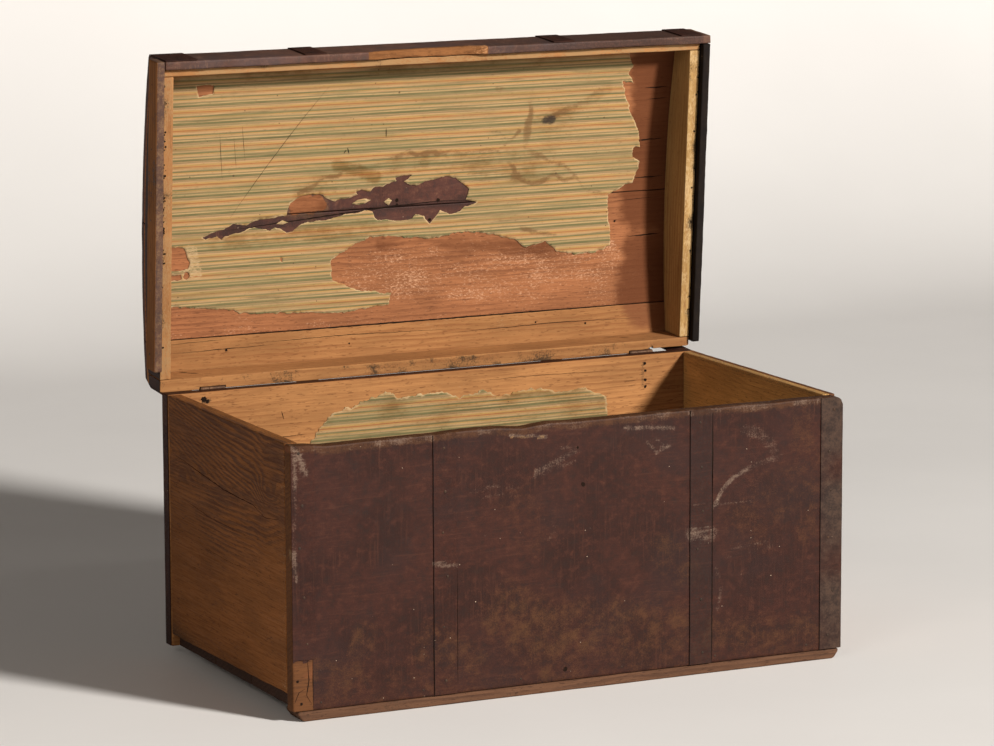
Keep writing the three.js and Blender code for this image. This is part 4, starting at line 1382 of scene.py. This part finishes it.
def on_back_board(flat, lift):
    return columns(flat[:, 0] * MM, BACK_INNER - lift, flat[:, 1] * MM)


def on_front(flat, lift):
    return columns(flat[:, 0] * MM, FRONT_FACE - lift, flat[:, 1] * MM)


def on_left_side(flat, lift):
    return columns(-HALF_LENGTH - lift, flat[:, 0] * MM + BODY_MIDDLE, flat[:, 1] * MM)


def on_rim(flat, lift):
    return to_row(columns(flat[:, 0] * MM, flat[:, 1] * MM, -0.5 * lift))


def on_lid_back(flat, lift):
    """On the inner face of the lid's back board: (along, height over the rim)."""
    return to_row(columns(flat[:, 0] * MM, LID_BACK_INNER + lift, flat[:, 1] * MM))


# Where the painted shadow lines beside the straps' right edges run.
RIGHT_STRAP_SHADOW = box("front_strap_right")[1][0] / MM + 1.3
LEFT_STRAP_SHADOW = box("front_strap_left")[1][0] / MM + 1.2
CRACK_AND_SHADOW_LINES = (
    ("side_cracks", [
        ([(230, 326), *SIDE_CRACK[1:]], 1.6),
        ([(190, 262), (60, 250), (-60, 248)], 0.8), ([(120, 200), (-20, 196), (-170, 200)], 0.7),
    ], on_left_side, "chest", 3),
    ("front_patch_cracks", [
        ([(-436, 92), (-434, 62), (-438, 40), (-430, 26)], 1.6), ([(-440, 50), (-450, 46), (-457, 30)], 1.1),
        ([(-427.6, 18), (-427.6, 96)], 1.3),
    ], on_front, "chest", 4),
    ("ceiling_cracks", [
        ([(-330, 232), (-200, 242), (-39, 254), (37, 257), (111, 255)], 2.6), ([(111, 255), (240, 253)], 0.8),
        ([(398, 423), (441, 424)], 2.4), ([(402, 404), (440, 405)], 1.8), ([(372, 336), (442, 338)], 2.6),
        ([(386, 274), (441, 275)], 2.2), ([(380, 178), (440, 180)], 3.0), ([(352, 238), (440, 241)], 0.9),
        ([(-443, 67.6), (-200, 67), (100, 67.4), (443, 67)], 2.6),
        ([(-300, 52), (-120, 54), (60, 50)], 1.1),
        ([(-420, 46), (-250, 48)], 1.2), ([(60, 44), (240, 47), (400, 44)], 1.2),
        ([(-430, 60), (-330, 62)], 0.9),
    ], on_ceiling, "lid", 5),
    ("back_board_cracks", [
        ([(-271, 372), (-267, 358)], 1.2), ([(-300, 330), (-230, 332)], 0.9),
        ([(-430, 392), (-380, 388)], 0.8),
        ([(60, 392), (150, 394), (300, 391)], 0.8), ([(330, 372), (352, 371)], 1.0),
    ], on_back_board, "chest", 6),
    ("lid_back_cracks", [
        ([(-415, 44), (-402, 36)], 3.0), ([(-404, 33), (-388, 26)], 3.2), ([(330, 44), (352, 38)], 2.5),
        ([(352, 34), (368, 30)], 2.4),
    ], on_lid_back, "lid", 7),
    # Painted shadow: dark strips beside the straps' edges, where the raised strap shades the board.
    ("strap_gaps", [
        ([(RIGHT_STRAP_SHADOW, 16), (RIGHT_STRAP_SHADOW, 200)], 2.4), ([(RIGHT_STRAP_SHADOW, 150), (RIGHT_STRAP_SHADOW, 330)], 2.0),
        ([(RIGHT_STRAP_SHADOW, 280), (RIGHT_STRAP_SHADOW, 404)], 2.4), ([(LEFT_STRAP_SHADOW, 30), (LEFT_STRAP_SHADOW, 210)], 0.9),
    ], on_front, "chest", 9),
)
FRONT_HOLES = [(5.4, 370, 2.2), (14.4, 313.3, 3.4), (-15.6, 33.9, 3.6), (-452, 62, 2.2), (-446, 28, 2.2)]
CEILING_HOLES = [
    (-330, 45, 2.4), (-120, 40, 1.5), (210, 50, 1.5), (300, 42, 1.8), (355, 205, 2.0), (-35, 263, 3.0),
    (-35, 256, 2.4), (37, 259, 3.2), (23, 228, 3.0),
]
BACK_BOARD_HOLES = [
    (-401, 401, 4.5), (-395, 397, 3.0), (368, 398, 2.6), (369, 386, 2.4), (369, 371, 2.6), (369, 360, 2.6),
]
# Groups of specks on the lid's rims: the end, from and to along the reach, and how many
RIM_SPECKS = ((-1, 195, 315, 60), (-1, 335, 400, 16), (-1, 40, 480, 20), (1, 40, 480, 36))


# Operators, one for each group of like pieces


class ChestPiece:
    """What the chest's operators share."""

    bl_options = {"REGISTER", "UNDO"}

    @classmethod
    def poll(cls, context):
        return context.scene is not None


class CHEST_OT_body_boards(ChestPiece, bpy.types.Operator):
    """Builds the front, back and side boards with their worn edges"""

    bl_idname = "chest.body_boards"
    bl_label = "Body boards"

    def execute(self, context):
        board("front_board", box("front_board"), "along", "chest", "front_paint", FRONT_SEED, front_wear,
              (4 * MM, 8 * MM, 4 * MM), 2.8 * MM, shape=front_shape)
        board("back_board", box("back_board"), "along", "chest", "back_wood", 2, back_wear, 9 * MM,
              shape=body_back_shape)
        # The right side board takes the material whose inside face is painted light.
        for side, finish, seed in (("left", "side_wood", 3), ("right", "right_side_wood", 4)):
            node = f"{side}_side_board"
            board(node, box(node), "across", "chest", finish, seed, side_wear, 7 * MM, rings=side_rings,
                  shape=side_shape)
        return {"FINISHED"}


class CHEST_OT_base(ChestPiece, bpy.types.Operator):
    """Builds the bottom boards and the two runners"""

    bl_idname = "chest.base"
    bl_label = "Bottom and runners"

    def execute(self, context):
        for seed, place in enumerate(("front", "middle", "rear"), 10):
            node = f"bottom_board_{place}"
            # The bottom boards take the dark pine that also paints the shade under the sides.
            board(node, box(node), "along", "chest", "base_wood", seed, base_wear, 16 * MM)
        for seed, node in enumerate(("front_runner", "back_runner"), 14):
            board(node, box(node), "along", "chest", "runner_wood", seed, base_wear, 9 * MM, 2.4 * MM,
                  shape=runner_shape)
        return {"FINISHED"}


class CHEST_OT_lid_frame(ChestPiece, bpy.types.Operator):
    """Builds the four boards of the lid's frame"""

    bl_idname = "chest.lid_frame"
    bl_label = "Lid frame"

    def execute(self, context):
        for seed, (node, grain, finish) in enumerate((
            ("lid_front_board", "along", "frame_wood"),
            ("lid_left_side_board", "across", "frame_wood"),
            # The lid's right side board: paler wood whose inner face is painted light.
            ("lid_right_side_board", "across", "pale_frame_wood"),
        ), 20):
            low, high = lid_limits(node)
            bend = frame_bend(low[2], high[2], UNDER_TOP)
            board(node, (low, high), grain, "lid", finish, seed, rim_wear, 9 * MM, 1.6 * MM, bend)
        low, high = lid_limits("lid_back_board")
        high[2] = dome(LID_BACK_MIDDLE, UNDER_TOP)
        board("lid_back_board", (low, high), "along", "lid", "frame_wood", 24, rim_wear, 9 * MM, 1.8 * MM,
              back_bend, back_shape,
              cuts=(HOUSING_ENDS, (HOUSING_FLOOR,), (HOUSING_TOP, HOUSING_TOP + HOUSING_STEP)))
        return {"FINISHED"}


class CHEST_OT_lid_top(ChestPiece, bpy.types.Operator):
    """Builds the three curved boards of the dome"""

    bl_idname = "chest.lid_top"
    bl_label = "Lid top"

    def execute(self, context):
        for seed, place in enumerate(("rear", "middle", "front"), 30):
            node = f"lid_top_board_{place}"
            low, high = lid_limits(node)
            outer = LID_BACK + BEVEL_RUN if place == "rear" else low[1]
            corners = ((low[0], low[1], 0.0), (high[0], high[1], TOP_THICKNESS))
            finish = "rear_ceiling_wood" if place == "rear" else "ceiling_wood"
            board(node, corners, "flat", "lid", finish, seed, ceiling_wear, 8 * MM, 1.2 * MM,
                  top_bend(low[1], outer, high[1]))
        return {"FINISHED"}


class CHEST_OT_lid_lips(ChestPiece, bpy.types.Operator):
    """Builds the lips that reach down over the body"""

    bl_idname = "chest.lid_lips"
    bl_label = "Lid lips"

    def execute(self, context):
        low, high = lid_limits("lid_front_lip")
        high[2] = DOME_EDGE
        board("lid_front_lip", (low, high), "along", "lid", "lip_wood", 40, lip_wear, 4 * MM, 3.0 * MM,
              frame_bend(low[2], DOME_EDGE, 0.0), lip_shape, dents=0.8 * MM)
        # The right lip takes the darker copy of the lip paint, which is painted shade.
        for node, finish, seed in (("lid_left_lip", "lip_wood", 42), ("lid_right_lip", "black_lip_wood", 43)):
            board(node, lid_limits(node), "across", "lid", finish, seed, lip_wear, 5 * MM, 2.6 * MM, to_row,
                  dents=0.6 * MM)
        return {"FINISHED"}


STRAP_PLACES = ("left_corner", "left", "right", "right_corner")
STRAP_TURN = 21 * MM


class CHEST_OT_body_straps(ChestPiece, bpy.types.Operator):
    """Builds the sheet iron straps on the front and back of the body"""

    bl_idname = "chest.body_straps"
    bl_label = "Body straps"

    def execute(self, context):
        front, back = FRONT_FACE - STRAP_OFF, BACK_FACE + STRAP_OFF
        on_face, on_rear = flat_bend(front, -1), flat_bend(back, 1)
        for node, seed, bend, ragged, past_left, past_right in (
            ("front_strap_left_corner", 50, on_face, broken_foot, 0, 0),
            ("front_strap_left", 51, on_face, worn_top, 0, 0),
            ("front_strap_right", 52, on_face, worn_top, 0, 0),
            ("front_strap_right_corner", 53, corner_bend(front, -1, 1), round_corner, 0, STRAP_TURN),
            ("back_strap_left_corner", 60, corner_bend(back, 1, -1), None, STRAP_TURN, 0),
            ("back_strap_left", 61, on_rear, None, 0, 0),
            ("back_strap_right", 62, on_rear, None, 0, 0),
            ("back_strap_right_corner", 63, corner_bend(back, 1, 1), None, 0, STRAP_TURN),
        ):
            low, high = box(node)
            wear = front_strap_wear if node.startswith("front") else strap_wear
            strap(node, (low[0] - past_left, low[2], 0), (high[0] + past_right, high[2], STRAP_SHEET), bend,
                  "chest", seed, wear, ragged)
        return {"FINISHED"}


class CHEST_OT_lid_straps(ChestPiece, bpy.types.Operator):
    """Builds the straps that run over the lid"""

    bl_idname = "chest.lid_straps"
    bl_label = "Lid straps"

    def execute(self, context):
        bend, reach = lid_strap_bend(lid_limits("lid_strap_left")[0][2])
        for seed, place in enumerate(STRAP_PLACES, 70):
            low, high = lid_limits(f"lid_strap_{place}")
            strap(f"lid_strap_{place}", (low[0], 0, 0), (high[0], reach, STRAP_SHEET), bend, "lid", seed,
                  lid_strap_wear)
        return {"FINISHED"}


class CHEST_OT_hinges(ChestPiece, bpy.types.Operator):
    """Gives the hinges their iron, and a bevel to their edges"""

    bl_idname = "chest.hinges"
    bl_label = "Hinges"

    def execute(self, context):
        for name, node in frame["nodes"].items():
            if name.startswith("hinge_"):
                node.data.materials.clear()
                node.data.materials.append(material("hinge_iron"))
                give(node, grain=cad_points(name))
                bevel = node.modifiers.new("Rubbed edges", "BEVEL")
                bevel.width = 0.35 * MM
                bevel.segments = 2
                bevel.limit_method = "ANGLE"
        return {"FINISHED"}


class CHEST_OT_nails(ChestPiece, bpy.types.Operator):
    """Sets the nails that hold the straps, the boards and the lips"""

    bl_idname = "chest.nails"
    bl_label = "Nails"

    def execute(self, context):
        over_strap = STRAP_OFF + STRAP_SHEET
        end = HALF_LENGTH + over_strap
        rng = np.random.default_rng(5)
        front, back, corner, lid, lip, side = [], [], [], [], [], []
        for middle in BODY_STRAP_MIDDLES:
            for z in (42, 112, 190, 262, 330, 392):
                if middle == BODY_STRAP_MIDDLES[0] and z < 100:
                    continue
                aside, shift = rng.uniform(-7, 7), rng.uniform(-8, 8)
                front.append((((middle + aside) * MM, FRONT_FACE - over_strap, (z + shift) * MM), (0, -1, 0)))
                back.append((((middle - aside) * MM, BACK_FACE + over_strap, (z - shift) * MM), (0, 1, 0)))
        for z in (60, 150, 250, 350):
            corner.append(((-end, BACK_FACE - BOARD / 2, z * MM), (-1, 0, 0)))
            corner.append(((end, BACK_FACE - BOARD / 2, z * MM), (1, 0, 0)))
            corner.append(((end, FRONT_FACE + BOARD / 2, z * MM), (1, 0, 0)))
        boards = [((x * MM, FRONT_FACE + 0.3 * MM, 27 * MM), (0, -1, 0))
                  for x in (-415, -250, -90, 80, 240, 400)]
        for middle in LID_STRAP_MIDDLES:
            for reach in (40, 120, 200, 280, 360, 440, 500):
                x = (middle + rng.uniform(-8, 8)) * MM
                spots = (reach * MM, reach * MM + 1 * MM)
                here, there = (in_lid(x, spot, dome(spot) + over_strap) for spot in spots)
                run = there - here
                lid.append((here, (0, run[2], -run[1])))
            out = in_lid(0, 1, 0) - in_lid(0, 0, 0)
            lip += [(in_lid(middle * MM, LIP_FACE + over_strap, height * MM), out) for height in (4, 42)]
        lip_end = lid_limits("lid_right_lip")[1][0] - 0.5 * MM
        for reach in (60, 160, 270, 380, 480):
            for facing in (-1, 1):
                side.append((in_lid(facing * lip_end, reach * MM, 10 * MM), (facing, 0, 0)))
        for name, places, body, share, seed in (
            ("front_strap_nails", front, "chest", 0.75, 3), ("back_strap_nails", back, "chest", 0.75, 4),
            ("corner_strap_nails", corner, "chest", 0.7, 6), ("front_board_nails", boards, "chest", 0.6, 7),
            ("lid_strap_nails", lid, "lid", 0.75, 8), ("lid_front_strap_nails", lip, "lid", 0.75, 9),
            ("side_lip_nails", side, "lid", 0.7, 10),
        ):
            nail_heads(name, places, body, share, seed)
        return {"FINISHED"}


class CHEST_OT_paper(ChestPiece, bpy.types.Operator):
    """Pastes the torn striped paper into the lid and on the back board"""

    bl_idname = "chest.paper"
    bl_label = "Striped paper"

    def execute(self, context):
        paper_sheet("lid_paper", LID_PAPER, on_ceiling, lid_paper_wear, "lid", 3, 3.0, 3.8,
                    [LID_PAPER_TEAR, *LID_PAPER_HOLES])
        for number, scrap in enumerate(PAPER_SCRAPS, 1):
            paper_sheet(f"paper_scrap_{number}", scrap, on_ceiling, lid_paper_wear, "lid", 20 + number, 1.2)
        crack("paper_creases", PAPER_CREASES, on_paper, "lid", 8)
        paper_sheet("back_paper", BACK_PAPER, on_back_board, back_paper_wear, "chest", 9, 4.0)
        return {"FINISHED"}


class CHEST_OT_cracks(ChestPiece, bpy.types.Operator):
    """Opens the cracks, knots and old nail holes, and lays painted shadow lines beside the straps"""

    bl_idname = "chest.cracks"
    bl_label = "Cracks and holes"

    def execute(self, context):
        for cracked in CRACK_AND_SHADOW_LINES:
            crack(*cracked)
        holes("front_holes", FRONT_HOLES, on_front, "chest", 2)
        holes("ceiling_holes", CEILING_HOLES, on_ceiling, "lid", 3)
        rng = np.random.default_rng(12)
        specks = []
        for end, low, high, count in RIM_SPECKS:
            across = LID_END / MM - 0.9 - np.abs(rng.normal(0, 2.2, count))
            specks += [*zip(end * across, rng.uniform(low, high, count), rng.uniform(0.5, 1.8, count))]
        holes("rim_specks", specks, on_rim, "lid", 6)
        holes("back_board_holes", BACK_BOARD_HOLES, on_back_board, "chest", 4)
        return {"FINISHED"}


# Stage: floor, light and camera. The camera stands where the photograph's fitted camera does.
FLOOR_REACH = 9.0
FLOOR_BACK = 2.6
BACKDROP_RADIUS = 1.6
PHOTO_WIDTH = 994
FOCAL_PIXELS = 4391.57
SENSOR = 36.0
CAMERA_PITCH, CAMERA_YAW, CAMERA_ROLL = 0.169277, -0.451516, -0.00362
CAMERA_PLACE = (-2.90567, -5.97653 + BODY_MIDDLE, 1.58100)
WORLD_COLOUR = (1.0, 0.91, 0.83, 1.0)
WORLD_STRENGTH = 0.092
LIGHTS = (
    ("Key light", (0.57, -1.04, 0.56), 14.0, 1.9, 3250, (1.0, 0.972, 0.925)),
    ("Fill light", (-0.72, -0.54, 0.4), 5.6, 3.0, 50, (1.0, 0.92, 0.83)),
)
LIGHT_AIM = (0, 0, 0.45)


def put_in_scene(name, data):
    made = bpy.data.objects.new(name, data)
    bpy.context.scene.collection.objects.link(made)
    return made


class CHEST_OT_stage(ChestPiece, bpy.types.Operator):
    """Sets the pale floor, the soft light and the camera"""

    bl_idname = "chest.stage"
    bl_label = "Stage"

    def execute(self, context):
        scene = context.scene
        profile = [(-FLOOR_REACH, 0.0), (FLOOR_BACK, 0.0)]
        for turn in np.linspace(0.1, 1.1, 12):
            rise = BACKDROP_RADIUS * (1 - math.cos(turn))
            profile.append((FLOOR_BACK + BACKDROP_RADIUS * math.sin(turn), rise))
        rows = [(x, y, z) for y, z in profile for x in (-FLOOR_REACH, FLOOR_REACH)]
        faces = [(2 * step, 2 * step + 1, 2 * step + 3, 2 * step + 2) for step in range(len(profile) - 1)]
        floor = link_mesh("pale_floor", rows, faces, "pale_floor")
        floor.data.shade_smooth()

        world = bpy.data.worlds.new("Soft room")
        world.use_nodes = True
        background = world.node_tree.nodes["Background"]
        background.inputs["Color"].default_value = WORLD_COLOUR
        background.inputs["Strength"].default_value = WORLD_STRENGTH
        scene.world = world
        for name, towards, away, size, power, tint in LIGHTS:
            light = bpy.data.lights.new(name, "AREA")
            light.shape = "DISK"
            light.size = size
            light.energy = power
            light.color = tint
            aim = Vector(towards).normalized()
            lamp = put_in_scene(name, light)
            lamp.location = Vector(LIGHT_AIM) + aim * away
            lamp.rotation_euler = (-aim).to_track_quat("-Z", "Y").to_euler()

        camera = bpy.data.cameras.new("Camera")
        camera.sensor_fit = "HORIZONTAL"
        camera.sensor_width = SENSOR
        camera.lens = FOCAL_PIXELS * SENSOR / PHOTO_WIDTH
        camera.clip_start, camera.clip_end = 0.1, 100.0
        level = math.cos(CAMERA_PITCH)
        ahead = Vector((-math.sin(CAMERA_YAW) * level, math.cos(CAMERA_YAW) * level, -math.sin(CAMERA_PITCH)))
        side = Vector((math.cos(CAMERA_YAW), math.sin(CAMERA_YAW), 0))
        top = side.cross(ahead)
        right = math.cos(CAMERA_ROLL) * side + math.sin(CAMERA_ROLL) * top
        up = math.cos(CAMERA_ROLL) * top - math.sin(CAMERA_ROLL) * side
        turn = Matrix((right, up, -ahead)).transposed().to_4x4()
        turn.translation = Vector(CAMERA_PLACE)
        eye = put_in_scene("Camera", camera)
        eye.matrix_world = turn
        scene.camera = eye
        scene.view_settings.view_transform = "Standard"
        return {"FINISHED"}


OPERATORS = (
    CHEST_OT_body_boards, CHEST_OT_base, CHEST_OT_lid_frame, CHEST_OT_lid_top, CHEST_OT_lid_lips,
    CHEST_OT_body_straps, CHEST_OT_lid_straps, CHEST_OT_hinges, CHEST_OT_nails, CHEST_OT_paper,
    CHEST_OT_cracks, CHEST_OT_stage,
)


class CHEST_PT_panel(bpy.types.Panel):
    """Lists the chest's settings and pieces in the sidebar"""

    bl_label = "Sea chest"
    bl_idname = "CHEST_PT_panel"
    bl_space_type = "VIEW_3D"
    bl_region_type = "UI"
    bl_category = "Chest"

    def draw(self, context):
        for name in ChestSettings.__annotations__:
            self.layout.prop(context.scene.sea_chest, name)
        for operator in OPERATORS:
            self.layout.operator(operator.bl_idname)


CLASSES = (ChestSettings, *OPERATORS, CHEST_PT_panel)


def register():
    for item in CLASSES:
        bpy.utils.register_class(item)
    bpy.types.Scene.sea_chest = PointerProperty(type=ChestSettings)


def unregister():
    del bpy.types.Scene.sea_chest
    for item in reversed(CLASSES):
        bpy.utils.unregister_class(item)


def main():
    register()
    for operator in OPERATORS:
        getattr(bpy.ops.chest, operator.bl_idname.split(".")[1])()


if __name__ == "__main__":
    main()
